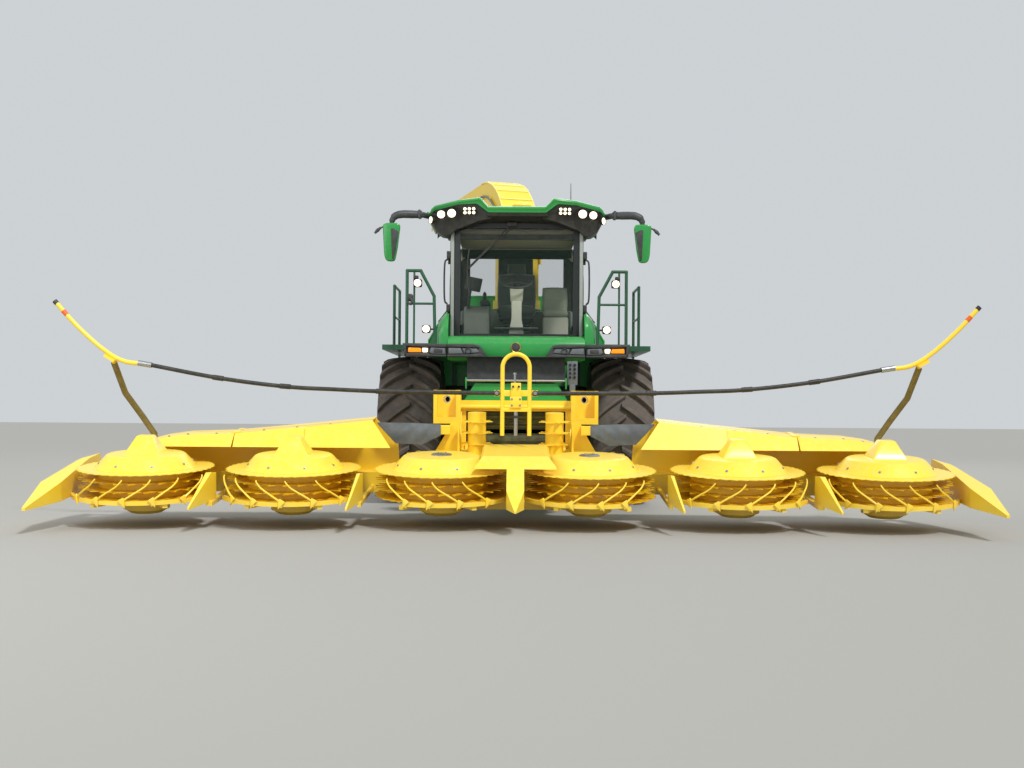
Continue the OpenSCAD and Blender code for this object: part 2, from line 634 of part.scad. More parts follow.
module header_centre() color("#f2c400") {
    // carrier frame around the intake, with the hitch towers
    difference() {
        union() {
            block([-700, carrier_front, 560], [700, feeder_front, 1290]);
            both() block([610, carrier_front - 190, 1030], [910, feeder_front, 1400]);
        }
        block([-555, carrier_front - 300, 660], [555, feeder_front + 10, 1170]);
        both() block([660, carrier_front - 200, 1100], [870, feeder_front - 90, 1500]);
        both() translate([760, carrier_front - 300, 1300]) rotate([-90, 0, 0]) cylinder(h = 400, r = 30);
    }
    translate([-611, carrier_front - 40, 1215]) rotate([0, 90, 0]) cylinder(h = 1222, r = 26);
    in_header() {
        // cross beam, gear cases and hinge lugs
        block([-fold_x + 60, beam_y, beam_z], [fold_x - 60, beam_y + beam_w, beam_z + beam_h]);
        for (s = [-1, 1]) rotor_carrier(s * rotor_pitch / 2);
        both() hinge_lugs(0);
        // braces from the beam to the carrier frame
        both() side_view([[beam_y, beam_z + 30], [1330, 180], [1330, 380], [beam_y, beam_z + beam_h]], 500, 560);
        // floor of the intake, clear of the rotors
        difference() {
            block([-600, 560, 290], [600, 1320, 310]);
            for (s = [-1, 1]) translate([s * rotor_pitch / 2, 0, 200]) cylinder(h = 200, r = disc_r + 10);
        }
        both() block([500, 720, 120], [560, 1290, 300]);
        // side walls of the intake
        both() difference() {
            block([600, 700, 110], [620, 1300, 720]);
            translate([590, 500, 720]) rotate([-25, 0, 0]) block([0, -400, 0], [60, 700, 500]);
        }
        both() front_view([[600, 120], [990, 120], [770, 500], [690, 660], [600, 660]], 820, 840);
        // battens that hold the inner ends of the canvas
        both() block([700, canvas_y + canvas_t + seat, 530], [830, 830, 620]);
        // shafts of the feed drums
        for (s = [-1, 1]) translate([s * 417, 800, 300]) cylinder(h = 60, r = 30);
        // nose cover between the two middle rotors
        difference() {
            intersection() {
                front_view([[-400, 330], [-400, 350], [-320, 440], [320, 440], [400, 350], [400, 330]], -520, 600);
                side_view([[-520, 330], [-480, 400], [-380, 440], [600, 440], [600, 410], [-360, 410], [-470, 330]],
                    -500, 500);
            }
            for (s = [-1, 1]) translate([s * rotor_pitch / 2, 0, dome_z - 2])
                cylinder(h = dome_h + 14, r1 = dome_r + 16, r2 = dome_top_r + 16);
        }
        block([-30, 560, 300], [30, 600, 412]);
        // centre divider under the nose
        intersection() {
            plan([[-85, -440], [85, -440], [85, -800], [10, -1020], [-10, -1020], [-85, -800]], -100, 500);
            side_view([[-440, 0], [-440, 330], [-500, 345], [-800, 160], [-1020, 0], [-1020, -20], [-700, -20]],
                -200, 200);
        }
        block([-20, -480, -30], [20, 20, 0]);
        // keel from the gear cases to the divider
        block([-560, -30, -150], [560, 30, -60]);
        block([-20, -480, -60], [20, 20, -29]);
        for (s = [-1, 1]) guard(s * rotor_pitch / 2, s > 0 ? 188 : 242, s > 0 ? 298 : 352);
        block([-90, -480, -22], [90, -440, 18]);
    }
}

// Hinge lugs on the beam ends; the wing's own pair (1) sits between the centre's pair (0)
module hinge_lugs(inner) {
    y = inner == 1 ? [beam_y + 55, beam_y + 145] : [beam_y, beam_y + 50];
    difference() {
        union() {
            if (inner == 1) {
                translate([fold_x, y[0], fold_z]) rotate([-90, 0, 0]) cylinder(h = y[1] - y[0], r = 60);
                block([fold_x, y[0], 20], [fold_x + 120, y[1], fold_z + 50]);
            } else for (dy = [0, 150]) {
                translate([fold_x, y[0] + dy, fold_z]) rotate([-90, 0, 0]) cylinder(h = 50, r = 60);
                block([fold_x - 120, y[0] + dy, 20], [fold_x, y[1] + dy, fold_z + 50]);
                block([fold_x - 120, y[0] + dy, -100], [fold_x - 60, y[1] + dy, 30]);
            }
        }
        if (inner == 1) translate([fold_x, 0, fold_z]) rotate([-90, 0, 0]) cylinder(h = 2000, r = 28 + fit);
    }
    if (inner == 0) translate([fold_x, y[0], fold_z]) rotate([-90, 0, 0]) cylinder(h = 200, r = 28);
}

// Hoop with the valve block and the arm that carries it
hoop_y = -3150;
pipe_x = 200;
pipe_z = 1362;

module hoop() color("#f2c400") {
    r = 22;
    half = 141;
    translate([0, hoop_y, 1630]) rotate([90, 0, 0]) rotate_extrude(angle = 180) translate([half, 0]) circle(r = r);
    both() translate([half, hoop_y, 920]) cylinder(h = 1630 - 920, r = r);
    block([-146, hoop_y - 22, 1170], [146, hoop_y + 22, 1210]);
    block([-60, hoop_y - 45, 1210], [60, hoop_y + 45, 1470]);
    block([-130, hoop_y - 14, 1330], [130, hoop_y + 14, 1394]);
    translate([0, hoop_y, 920]) cylinder(h = 252, r = 20);
    translate([-12, hoop_y, 1468]) cylinder(h = 90, r = 12);
    // arm back to the carrier frame
    block([-30, hoop_y + 44, 1246], [30, carrier_front, 1290]);
    // pivots of the crop pipes
    both() {
        block([128, hoop_y + 10, 1330], [pipe_x - 36, hoop_y + 35, 1394]);
        block([128, hoop_y + 23, 1330], [pipe_x + 26, hoop_y + 35, 1394]);
        translate([pipe_x, hoop_y - 24, pipe_z]) rotate([-90, 0, 0]) cylinder(h = 50, r = 12);
    }
}

pipe_end_r = 29;
// Crop pipe: X and Z of its centre line from the pivot to the outer tip
PIPE = [[pipe_x + 60, 1362], [1400, 1372], [2400, 1415], [outer - 650, 1500], [outer + 110, 1640]];
PIPE_END = [for (p = [[72, 1633], [110, 1640], [350, 1672], [570, 1800], [840, 2040], [1060, 2280]]) [outer + p[0], p[1]]];

module crop_pipe(s) side(s) {
    y = hoop_y;
    color("#23272b") {
        difference() {
            translate([pipe_x, hoop_y - 18, pipe_z]) rotate([-90, 0, 0]) cylinder(h = 36, r = 30);
            translate([pipe_x, hoop_y - 30, pipe_z]) rotate([-90, 0, 0]) cylinder(h = 60, r = 12 + fit);
        }
        rod([pipe_x + 20, y, pipe_z], [pipe_x + 80, y, pipe_z], 16);
        sleeved_pipe([for (p = PIPE) [p[0], y, p[1]]], 22);
    }
    color("#f2c400") sleeved_pipe([for (p = PIPE_END) [p[0], y, p[1]]], pipe_end_r - 6);
}

// Wing: beam, gear cases, covers, dividers, outer snout and the pipe's cradle arm

INNER_TOP = [[rotor_pitch + 5, 700], [rotor_pitch + 700, 628], [seam - 10, 556]];
OUTER_TOP = [[seam + 10, 552], [outer - 250, 532], [outer - 10, 498], [outer + 250, 430]];

module wing(s) color("#f2c400") side(s) {
    in_header() wing_frame();
    cradle_arm();
}

module wing_frame() {
    // beam behind the rotors, with the fold hinge
    block([fold_x + 100, beam_y, beam_z], [outer + 420, beam_y + beam_w, beam_z + beam_h]);
    hinge_lugs(1);
    for (k = [1.5, 2.5]) rotor_carrier(k * rotor_pitch);
    // rear wall that carries the covers
    front_view([[fold_x + 200, 110], [outer + 420, 110], [outer + 260, 400], [outer - 10, 480], [outer - 250, 515],
        [seam - 10, 540], [rotor_pitch + 5, 680], [fold_x + 220, 420]], 860, 880);
    wing_top();
    // guards and dividers
    guard(1.5 * rotor_pitch, 205, 335);
    guard(2.5 * rotor_pitch, 205, 345);
    divider(rotor_pitch + 30, rotor_pitch + 100, 36);
    divider(2 * rotor_pitch, 2 * rotor_pitch + 90, 60);
    block([rotor_pitch + 12, -480, -60], [rotor_pitch + 48, 760, -18]);
    block([2 * rotor_pitch - 30, -480, -60], [2 * rotor_pitch + 30, 760, -18]);
    // outer snout
    intersection() {
        plan([for (p = [[710, 760], [810, 300], [890, -500], [810, -1202], [780, -1202], [690, -500], [710, 300]])
            [outer + p[0], p[1]]], -100, 600);
        side_view([[760, -20], [760, 300], [400, 290], [-500, 170], [-1202, 30], [-1202, 5], [-500, -20]], outer + 550,
            outer + 1050);
    }
    block([outer + 400, beam_y, 0], [outer + 730, beam_y + 60, 120]);
}

// Covers over the rear half of the rotors
module wing_top() {
    t = 16;
    for (line = [INNER_TOP, OUTER_TOP]) {
        front_view(concat(line, [for (i = [len(line) - 1 : -1 : 0]) [line[i][0], line[i][1] - t]]), 480, 880);
        for (i = [0 : len(line) - 2]) {
            a = line[i];
            b = line[i + 1];
            in_a = a[0] < rotor_pitch + 100 ? fold_x + 250 : a[0];
            intersection() {
                side_view([[300, 430], [480, a[1]], [480, a[1] - t], [300 + t, 430]], in_a, b[0]);
                front_view([[in_a, 430], [b[0], 430], [b[0], b[1]], [a[0], a[1]]], 200, 600);
            }
        }
    }
}

// Curved arm from the wing's rear wall up to the saddle under the crop pipe's end
ARM = [[outer + 150, -2613, 744], [outer + 155, -2640, 900], [outer + 270, -2700, 1090], [outer + 410, -2860, 1340],
    [outer + 455, -3110, 1660]];

module cradle_arm() {
    a = PIPE_END[2];
    b = PIPE_END[3];
    lean = atan2(b[1] - a[1], b[0] - a[0]);
    bent_rod(ARM, 24);
    translate([(a[0] + b[0]) / 2, hoop_y, (a[1] + b[1]) / 2]) rotate([0, -lean, 0])
        block([-60, -45, -pipe_end_r - seat - 30], [60, 62, -pipe_end_r - seat]);
}

// Rotor with its toothed discs, drum, dome and cone
module rotor(s, k) color("#f2c400") side(s) in_header() translate([ROTOR_STEP[k] * rotor_pitch, 0, 0]) {
    wall = 10;
    difference() {
        union() {
            linear_extrude(disc_t) polygon(toothed(36, disc_r - 26, disc_r));
            cylinder(h = drum_h, r = drum_r);
            for (z = [80, 165]) translate([0, 0, z]) linear_extrude(disc_t) polygon(toothed(14, disc_r - 110, disc_r - 15));
            translate([0, 0, drum_h]) linear_extrude(disc_t) polygon(toothed(44, disc_r - 22, disc_r));
            translate([0, 0, dome_z]) cylinder(h = dome_h, r1 = dome_r, r2 = dome_top_r, $fn = 96);
        }
        // hollow drum and dome round the shaft's hub
        difference() {
            union() {
                translate([0, 0, wall]) cylinder(h = drum_h - wall - 2, r = drum_r - wall);
                translate([0, 0, dome_z]) cylinder(h = dome_h - wall, r1 = dome_r - 2 * wall, r2 = dome_top_r - wall, $fn = 96);
            }
            cylinder(h = dome_z + dome_h, r = 110);
        }
        translate([0, 0, -1]) cylinder(h = 157, r = shaft_r + fit);
    }
    if (k == 0) translate([0, 0, dome_top_z]) cylinder(h = 12, r = 100);
    if (k > 0) cone_top();
}

// Square cone on the outer rotors
module cone_top() {
    low = 175;
    high = 75;
    rise = 180;
    z = dome_top_z;
    slope = [[-low, z], [low, z], [high, z + rise], [-high, z + rise]];
    intersection() {
        front_view(slope, -300, 300);
        side_view(slope, -300, 300);
    }
}

// Feed drum with three star fins
module feed_drum(s) color("#f2c400") side(s) in_header() translate([417, 800, 0]) difference() {
    union() {
        translate([0, 0, 311]) cylinder(h = 450, r = 98);
        for (z = [420, 540, 660]) translate([0, 0, z]) linear_extrude(10) polygon(toothed(8, 110, 172));
    }
    translate([0, 0, 300]) cylinder(h = 61, r = 30 + fit);
}

// Canvas over the fold, between the centre's wall and the wing's cover
module canvas(s) color("#39424d") side(s) in_header()
    front_view([[1285, 432], [1488, 655], [1100, 650], [800, 640], [800, 520], [1000, 420]], canvas_y, canvas_y + canvas_t);

// Spout

module at_turret() translate([0, spout_y, 0]) rotate([0, 0, spout_yaw]) children();

module spout_turret() color("#f2c400") at_turret() difference() {
    union() {
        translate([0, 0, turret_z + seat]) cylinder(h = 120, r = turret_r);
        block([-spout_w / 2, -channel_h / 2, turret_z + 60], [spout_w / 2, channel_h / 2, riser_top]);
        // lift lugs at the front
        both() block([spout_w / 2, -channel_h / 2 - 60, riser_top - 120], [spout_w / 2 + 20, -channel_h / 2 + 60, riser_top + 60]);
    }
    block([-spout_w / 2 + spout_t, -channel_h / 2 + spout_t, turret_z - 10],
        [spout_w / 2 - spout_t, channel_h / 2 - spout_t, riser_top + 1]);
    lift_axis() cylinder(h = 2 * spout_w, r = 20 + fit, center = true);
}

// The boom's lift axis at the riser's front edge
module lift_axis() translate([0, -channel_h / 2 - 20, riser_top + 20]) rotate([0, 90, 0]) children();

// Elbow and boom: a box channel, open below along the boom
knee_h = 130;

module spout_boom() color("#f2c400") at_turret() {
    half = spout_w / 2;
    y0 = -channel_h / 2;
    base = riser_top + seat;
    difference() {
        union() {
            block([-half, y0, base], [half, y0 + channel_h, base + knee_h]);
            elbow(elbow_r, elbow_r - channel_h, spout_w);
            boom_frame() block([-half, -2, -channel_h], [half, boom_l, 0]);
            // lug round the lift pin
            block([-half + 2, y0 - 40, base], [half - 2, y0 + 1, base + 60]);
        }
        block([-half + spout_t, y0 + spout_t, base - 1], [half - spout_t, y0 + channel_h - spout_t, base + knee_h + 1]);
        elbow(elbow_r - spout_t, elbow_r - channel_h + spout_t, spout_w - 2 * spout_t);
        boom_frame() block([-half + spout_t, -3, -channel_h - 400], [half - spout_t, boom_l + 1, -spout_t]);
        boom_frame() side_view([[500, -channel_h - 1], [boom_l + 1, -channel_h - 1], [boom_l + 1, -channel_h + 130]],
            -spout_w, spout_w);
        boom_frame() translate([0, flap_y, flap_z]) rotate([0, 90, 0])
            cylinder(h = 2 * spout_w, r = 12 + fit, center = true);
    }
    lift_axis() cylinder(h = spout_w + 40, r = 20, center = true);
}

// Ring sector of rectangular section from the riser's top over to the boom
module elbow(outer, inner, w)
    translate([0, elbow_r - channel_h / 2, riser_top + seat + knee_h]) rotate([90, 0, -90])
        rotate_extrude(angle = 90 + boom_drop, $fn = 128) translate([inner, -w / 2]) square([outer - inner, w]);

// The boom's own frame: at the end of the elbow, Y along the boom, Z square to its top
module boom_frame() {
    turn = 90 + boom_drop;
    cy = -channel_h / 2 + elbow_r;
    cz = riser_top + seat + 130;
    translate([0, cy - elbow_r * cos(turn), cz + elbow_r * sin(turn)]) rotate([-boom_drop, 0, 0]) children();
}

// End flap: a top plate between two cheeks on a pin through the boom's sides
flap_y = boom_l - 30;
flap_z = -60;

module spout_flap() color("#f2c400") at_turret() boom_frame() translate([0, flap_y, flap_z]) {
    half = spout_w / 2;
    side_view([[70, 30], [70, 44], [270, 0], [500, -130], [494, -144], [264, -14]], -half - 16, half + 16);
    both() side_view([[-30, -30], [-30, 30], [70, 40], [270, 0], [500, -130], [480, -180], [250, -70]], half + 6, half + 16);
    rotate([0, 90, 0]) cylinder(h = spout_w + 20, r = 12, center = true);
}

chassis();
engine();
front_axle();
rear_axle();
tanks();
body_panels();
cowl();
lamp_bar();
cab_shell();
cab_roof();
cab_glass();
seats();
steering_console();
mirrors();
platforms();
knuckle(1);  // knuckle_left
knuckle(-1);  // knuckle_right
tyre_front(1);  // tyre_front_left
tyre_front(-1);  // tyre_front_right
tyre_rear(1);  // tyre_rear_left
tyre_rear(-1);  // tyre_rear_right
rim_front(1);  // rim_front_left
rim_front(-1);  // rim_front_right
rim_rear(1);  // rim_rear_left
rim_rear(-1);  // rim_rear_right
feeder_house();
header_centre();
hoop();
feed_roll(0);  // feed_roll_upper
feed_roll(1);  // feed_roll_lower
feed_drum(1);  // feed_drum_left
feed_drum(-1);  // feed_drum_right
wing(1);  // wing_left
wing(-1);  // wing_right
canvas(1);  // canvas_left
canvas(-1);  // canvas_right
crop_pipe(1);  // crop_pipe_left
crop_pipe(-1);  // crop_pipe_right
rotor(1, 0);  // rotor_left_1
rotor(1, 1);  // rotor_left_2
rotor(1, 2);  // rotor_left_3
rotor(-1, 0);  // rotor_right_1
rotor(-1, 1);  // rotor_right_2
rotor(-1, 2);  // rotor_right_3
spout_turret();
spout_boom();
spout_flap();
cab_door(1);  // cab_door_left
cab_door(-1);  // cab_door_right
service_door(1);  // service_door_left
service_door(-1);  // service_door_right
rear_door();
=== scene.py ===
# Self-propelled forage harvester with a folding six-rotor maize header.
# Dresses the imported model; metres, the machine faces -Y and its left side is +X.
import math

import bmesh
import bpy
from mathutils import Matrix, Vector


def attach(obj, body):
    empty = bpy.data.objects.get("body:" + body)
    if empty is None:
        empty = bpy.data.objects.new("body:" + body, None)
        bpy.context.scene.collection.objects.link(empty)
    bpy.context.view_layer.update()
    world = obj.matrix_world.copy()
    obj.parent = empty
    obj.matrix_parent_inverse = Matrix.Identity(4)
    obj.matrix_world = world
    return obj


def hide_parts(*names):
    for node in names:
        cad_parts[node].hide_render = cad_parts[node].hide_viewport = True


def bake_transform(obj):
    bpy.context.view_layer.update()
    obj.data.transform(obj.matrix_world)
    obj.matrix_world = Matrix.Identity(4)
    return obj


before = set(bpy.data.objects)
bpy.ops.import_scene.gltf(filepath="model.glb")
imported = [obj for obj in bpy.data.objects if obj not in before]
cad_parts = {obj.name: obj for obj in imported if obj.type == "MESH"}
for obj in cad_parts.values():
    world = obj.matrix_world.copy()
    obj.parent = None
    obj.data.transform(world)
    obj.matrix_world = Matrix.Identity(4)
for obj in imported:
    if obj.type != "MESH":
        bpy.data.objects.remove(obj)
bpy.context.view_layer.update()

# Camera: a normal lens 16 m in front of the axle at chest height, turned and tipped
# a little, so that the machine stands as in the photograph.
CAMERA_PLACE = (0.0, -16.45, 1.24)
CAMERA_TURN, CAMERA_TIP, CAMERA_ROLL = 0.18, 90.94, 0.4
camera_data = bpy.data.cameras.new("camera")
camera_data.sensor_width = 36.0
camera_data.lens = 44.9
camera_data.clip_end = 300.0
camera = bpy.data.objects.new("camera", camera_data)
bpy.context.scene.collection.objects.link(camera)
camera.matrix_world = (Matrix.Translation(CAMERA_PLACE)
                       @ Matrix.Rotation(math.radians(CAMERA_TURN), 4, "Z")
                       @ Matrix.Rotation(math.radians(CAMERA_TIP), 4, "X")
                       @ Matrix.Rotation(math.radians(CAMERA_ROLL), 4, "Z"))
bpy.context.scene.camera = camera


# Colours are written as sRGB hex and turned to linear here.
def linear(hex_colour):
    channels = [int(hex_colour[i:i + 2], 16) / 255 for i in (1, 3, 5)]
    return tuple(c / 12.92 if c <= 0.04045 else ((c + 0.055) / 1.055) ** 2.4
                 for c in channels) + (1.0,)


# One node with its settings and the links into its sockets.
def node(material, kind, settings=None, **inputs):
    tree = material.node_tree
    made = tree.nodes.new(kind)
    for key, value in (settings or {}).items():
        setattr(made, key, value)
    for key, value in inputs.items():
        name = key.replace("_", " ")
        socket = made.inputs[int(key[1:])] if key[1:].isdigit() else made.inputs[name]
        if isinstance(value, bpy.types.NodeSocket):
            tree.links.new(value, socket)
        else:
            socket.default_value = value
    return made


# Outputs linked into sockets of a node that is there already.
def link(made, **outputs):
    for key, output in outputs.items():
        made.id_data.links.new(output, made.inputs[key.replace("_", " ")])


# Empty material with its shader and output; the shader is returned with it.
def new_material(name, **inputs):
    material = bpy.data.materials.new(name)
    material.use_nodes = True
    material.node_tree.nodes.clear()
    shader = node(material, "ShaderNodeBsdfPrincipled", None, **inputs)
    output = node(material, "ShaderNodeOutputMaterial")
    material.node_tree.links.new(shader.outputs[0], output.inputs[0])
    return material, shader


# Studio: a pale floor, a bright overcast sky, one broad sun from the front right
# and a soft fill light on the other side.
world = bpy.data.worlds.new("studio")
bpy.context.scene.world = world
world.use_nodes = True
world.node_tree.nodes["Background"].inputs[0].default_value = linear("#e9eef2")
world.node_tree.nodes["Background"].inputs[1].default_value = 0.75
bpy.context.scene.view_settings.view_transform = "Standard"

FLOOR_HALF = 60
floor_mesh = bpy.data.meshes.new("floor")
floor_mesh.from_pydata([(x * FLOOR_HALF, y * FLOOR_HALF, 0) for x, y in ((-1, -1), (1, -1), (1, 1), (-1, 1))],
                       [], [(0, 1, 2, 3)])
floor = bpy.data.objects.new("floor", floor_mesh)
bpy.context.scene.collection.objects.link(floor)
floor_paint, _ = new_material("floor_matte", Base_Color=linear("#a3a19b"), Roughness=0.9)
floor_mesh.materials.append(floor_paint)

LIGHTS_AIM = Vector((0, -1, 1))
for light_name, kind, place, power, size in (
        ("sun", "SUN", (5.0, -9.0, 12.0), 2.3, 0.12),
        ("fill", "AREA", (-9.0, -11.0, 7.0), 500.0, 8.0),
        ("back", "AREA", (2.0, 12.0, 9.0), 450.0, 8.0)):
    light_data = bpy.data.lights.new(light_name, kind)
    light_data.energy = power
    if kind == "SUN":
        light_data.angle = size
    else:
        light_data.size = size
    light = bpy.data.objects.new(light_name, light_data)
    bpy.context.scene.collection.objects.link(light)
    light.location = place
    light.rotation_euler = (LIGHTS_AIM - Vector(place)).to_track_quat("-Z", "Y").to_euler()


# Header paint: yellow two-coat enamel, sprayed on sheet steel. It gives a clean, slightly
# soft gloss that a season of sun has faded in places, with pale crop dust lying on the
# faces that look up and a grey soil film close to the ground.
def enamel(name, paint, faded, dust, dust_share, roughness, soil_height=0.0):
    material, shader = new_material(name, IOR=1.5, Coat_Weight=0.2, Coat_Roughness=0.15)
    place = node(material, "ShaderNodeTexCoord").outputs["Object"]
    geometry = node(material, "ShaderNodeNewGeometry")
    # sun fading over a metre or so
    broad = node(material, "ShaderNodeTexNoise", None, Vector=place, Scale=1.4, Detail=3.0)
    tone = node(material, "ShaderNodeMix", {"data_type": "RGBA"},
                i0=broad.outputs[0], i6=linear(paint), i7=linear(faded))
    # dust in patches of 20 to 60 mm, thicker where the face looks up
    patch = node(material, "ShaderNodeTexNoise", None, Vector=place, Scale=22.0, Detail=9.0, Roughness=0.72)
    patchy = node(material, "ShaderNodeMapRange", None, i0=patch.outputs[0], i1=0.42, i2=0.72, i3=0.15,
                  i4=1.0)
    up = node(material, "ShaderNodeSeparateXYZ", None, i0=geometry.outputs["Normal"]).outputs[2]
    lying = node(material, "ShaderNodeMapRange", None, i0=up, i1=0.1, i2=0.95, i3=0.25, i4=1.0)
    share = node(material, "ShaderNodeMath", {"operation": "MULTIPLY"},
                 i0=patchy.outputs[0], i1=lying.outputs[0])
    share = node(material, "ShaderNodeMath", {"operation": "MULTIPLY"}, i0=share.outputs[0], i1=dust_share)
    if soil_height:
        height = node(material, "ShaderNodeSeparateXYZ", None, i0=geometry.outputs["Position"]).outputs[2]
        low = node(material, "ShaderNodeMapRange", None, i0=height, i1=soil_height, i2=0.05, i3=0.0, i4=0.55)
        soil = node(material, "ShaderNodeMath", {"operation": "MULTIPLY"},
                    i0=low.outputs[0], i1=patchy.outputs[0])
        share = node(material, "ShaderNodeMath", {"operation": "MAXIMUM"},
                     i0=share.outputs[0], i1=soil.outputs[0])
    colour = node(material, "ShaderNodeMix", {"data_type": "RGBA"},
                  i0=share.outputs[0], i6=tone.outputs[2], i7=linear(dust))
    rough = node(material, "ShaderNodeMapRange", None, i0=share.outputs[0], i1=0.0, i2=0.6,
                 i3=roughness, i4=min(roughness + 0.4, 0.95))
    # orange peel of the sprayed coat, 3 mm across
    peel = node(material, "ShaderNodeTexNoise", None, Vector=place, Scale=330.0, Detail=2.0)
    bump = node(material, "ShaderNodeBump", None, Height=peel.outputs[0], Strength=0.06, Distance=0.002)
    link(shader, Base_Color=colour.outputs[2], Roughness=rough.outputs[0], Normal=bump.outputs[0])
    return material


yellow_enamel = enamel("yellow_enamel", "#ffd30a", "#ffdc3a", "#ece0ae", 0.35, 0.34, 0.5)

# Paint of the toothed discs and their knives: worn to bare steel in patches where the crop rubs,
# and elsewhere a darker yellow that is painted shade under the top disc.
worn_shaded_yellow, disc_paint_shader = new_material("worn_yellow_enamel_with_painted_shade", IOR=1.5, Roughness=0.42)
disc_paint_place = node(worn_shaded_yellow, "ShaderNodeTexCoord").outputs["Object"]
worn_patch = node(worn_shaded_yellow, "ShaderNodeTexNoise", None, Vector=disc_paint_place, Scale=9.0, Detail=10.0,
                  Roughness=0.75)
bare = node(worn_shaded_yellow, "ShaderNodeMapRange", None, i0=worn_patch.outputs[0], i1=0.56, i2=0.6, i3=0.0,
            i4=1.0)
disc_tone_noise = node(worn_shaded_yellow, "ShaderNodeTexNoise", None, Vector=disc_paint_place, Scale=40.0, Detail=6.0)
# the two darker yellows are painted shade of the lower discs under the top disc; the noise only varies the
# tone between them
shade_darkened_paint = node(worn_shaded_yellow, "ShaderNodeMix", {"data_type": "RGBA"},
                  i0=disc_tone_noise.outputs[0], i6=linear("#eebf0c"), i7=linear("#d9a90d"))
worn_and_shaded_colour = node(worn_shaded_yellow, "ShaderNodeMix", {"data_type": "RGBA"},
                   i0=bare.outputs[0], i6=shade_darkened_paint.outputs[2], i7=linear("#8d8877"))
worn_metal = node(worn_shaded_yellow, "ShaderNodeMath", {"operation": "MULTIPLY"}, i0=bare.outputs[0], i1=0.7)
link(disc_paint_shader, Base_Color=worn_and_shaded_colour.outputs[2], Metallic=worn_metal.outputs[0])

# Zinc-plated steel of screws and rods: cool grey with a soft, slightly streaked shine.
zinc, zinc_shader = new_material("zinc_plated_steel", Metallic=1.0)
zinc_grain = node(zinc, "ShaderNodeTexNoise", None,
                  Vector=node(zinc, "ShaderNodeTexCoord").outputs["Object"], Scale=120.0, Detail=4.0)
zinc_tone = node(zinc, "ShaderNodeMix", {"data_type": "RGBA"},
                 i0=zinc_grain.outputs[0], i6=linear("#8f9296"), i7=linear("#c3c6c8"))
zinc_rough = node(zinc, "ShaderNodeMapRange", None, i0=zinc_grain.outputs[0], i3=0.28, i4=0.5)
link(zinc_shader, Base_Color=zinc_tone.outputs[2], Roughness=zinc_rough.outputs[0])


# One vert at a radius, an angle and a height round the place's Z axis.
def round_vert(bm, place, radius, angle, height):
    return bm.verts.new(place @ Vector((radius * math.cos(angle), radius * math.sin(angle), height)))


# Turned shape: rows of (radius, height) spun round the local Z axis.
def add_lathe(bm, profile, place=Matrix(), segments=96, index=0, closed=False):
    rings = []
    for radius, height in profile:
        if radius == 0:
            rings.append([round_vert(bm, place, 0, 0, height)] * segments)
        else:
            rings.append([round_vert(bm, place, radius, 2 * math.pi * k / segments, height)
                          for k in range(segments)])
    for low, high in zip(rings, rings[1:] + rings[:1] if closed else rings[1:]):
        for k in range(segments):
            n = (k + 1) % segments
            corners = []
            for vert in (low[k], low[n], high[n], high[k]):
                if vert not in corners:
                    corners.append(vert)
            if len(corners) > 2:
                bm.faces.new(corners).material_index = index


# Flat part: an outline in local X and Y, with its thickness along local Z.
def add_plate(bm, outline, low, high, place=Matrix(), index=0):
    bottom = [bm.verts.new(place @ Vector((x, y, low))) for x, y in outline]
    top = [bm.verts.new(place @ Vector((x, y, high))) for x, y in outline]
    faces = [bm.faces.new(bottom[::-1]), bm.faces.new(top)]
    for k in range(len(outline)):
        n = (k + 1) % len(outline)
        faces.append(bm.faces.new((bottom[k], bottom[n], top[n], top[k])))
    for face in faces:
        face.material_index = index


# Hexagon-head screw with its washer; its axis is the place's Z.
def add_screw(bm, place, radius, index=0):
    add_lathe(bm, [(0, 0), (radius * 1.7, 0), (radius * 1.7, radius * 0.35), (0, radius * 0.35)], place,
              16, index)
    add_lathe(bm, [(0, radius * 0.3), (radius * 1.05, radius * 0.3), (radius * 1.05, radius),
                   (radius * 0.8, radius * 1.25), (0, radius * 1.25)], place, 6, index)


# Bmesh to a finished piece that rides on its body, with creases kept sharp. A piece given
# no body rides on none.
def piece(name, bm, materials, body, replaces=(), crease=32):
    bmesh.ops.recalc_face_normals(bm, faces=bm.faces)
    mesh = bpy.data.meshes.new(name)
    bm.to_mesh(mesh)
    bm.free()
    for material in materials:
        mesh.materials.append(material)
    mesh.polygons.foreach_set("use_smooth", [True] * len(mesh.polygons))
    mesh.set_sharp_from_angle(angle=math.radians(crease))
    made = bpy.data.objects.new(name, mesh)
    bpy.context.scene.collection.objects.link(made)
    if body:
        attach(made, body)
    if replaces:
        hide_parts(*replaces)
    return made


# Six rotors: welded drums with four toothed discs, a pressed dome screwed on top and, on
# the four outer ones, a square cone of folded sheet. Left and right ones turn towards
# each other in pairs, so their saw teeth are mirrored.
HEADER = Matrix.Translation((0, -3.45, 0.33)) @ Matrix.Rotation(math.radians(5), 4, "X")
ROTOR_PITCH = 1.5
DISC_R, DRUM_R, DRUM_H, DISC_T = 0.680, 0.470, 0.255, 0.007
STAR_HEIGHTS = (0.080, 0.165)
DOME_Z, DOME_H = DRUM_H + DISC_T, 0.138
CAP_T = 0.012
SIDES = (("left", 1), ("right", -1))


# Outline of a toothed disc: each tooth rises from its root to a blunt tip.
def saw_teeth(count, root, tip, hand, back=0.72):
    points = []
    for k in range(count):
        for radius, part in ((root, 0.0), (tip, back), (tip - 0.004, back + 0.1)):
            angle = 2 * math.pi * (k + part) / count * hand
            points.append((radius * math.cos(angle), radius * math.sin(angle)))
    return points if hand > 0 else points[::-1]


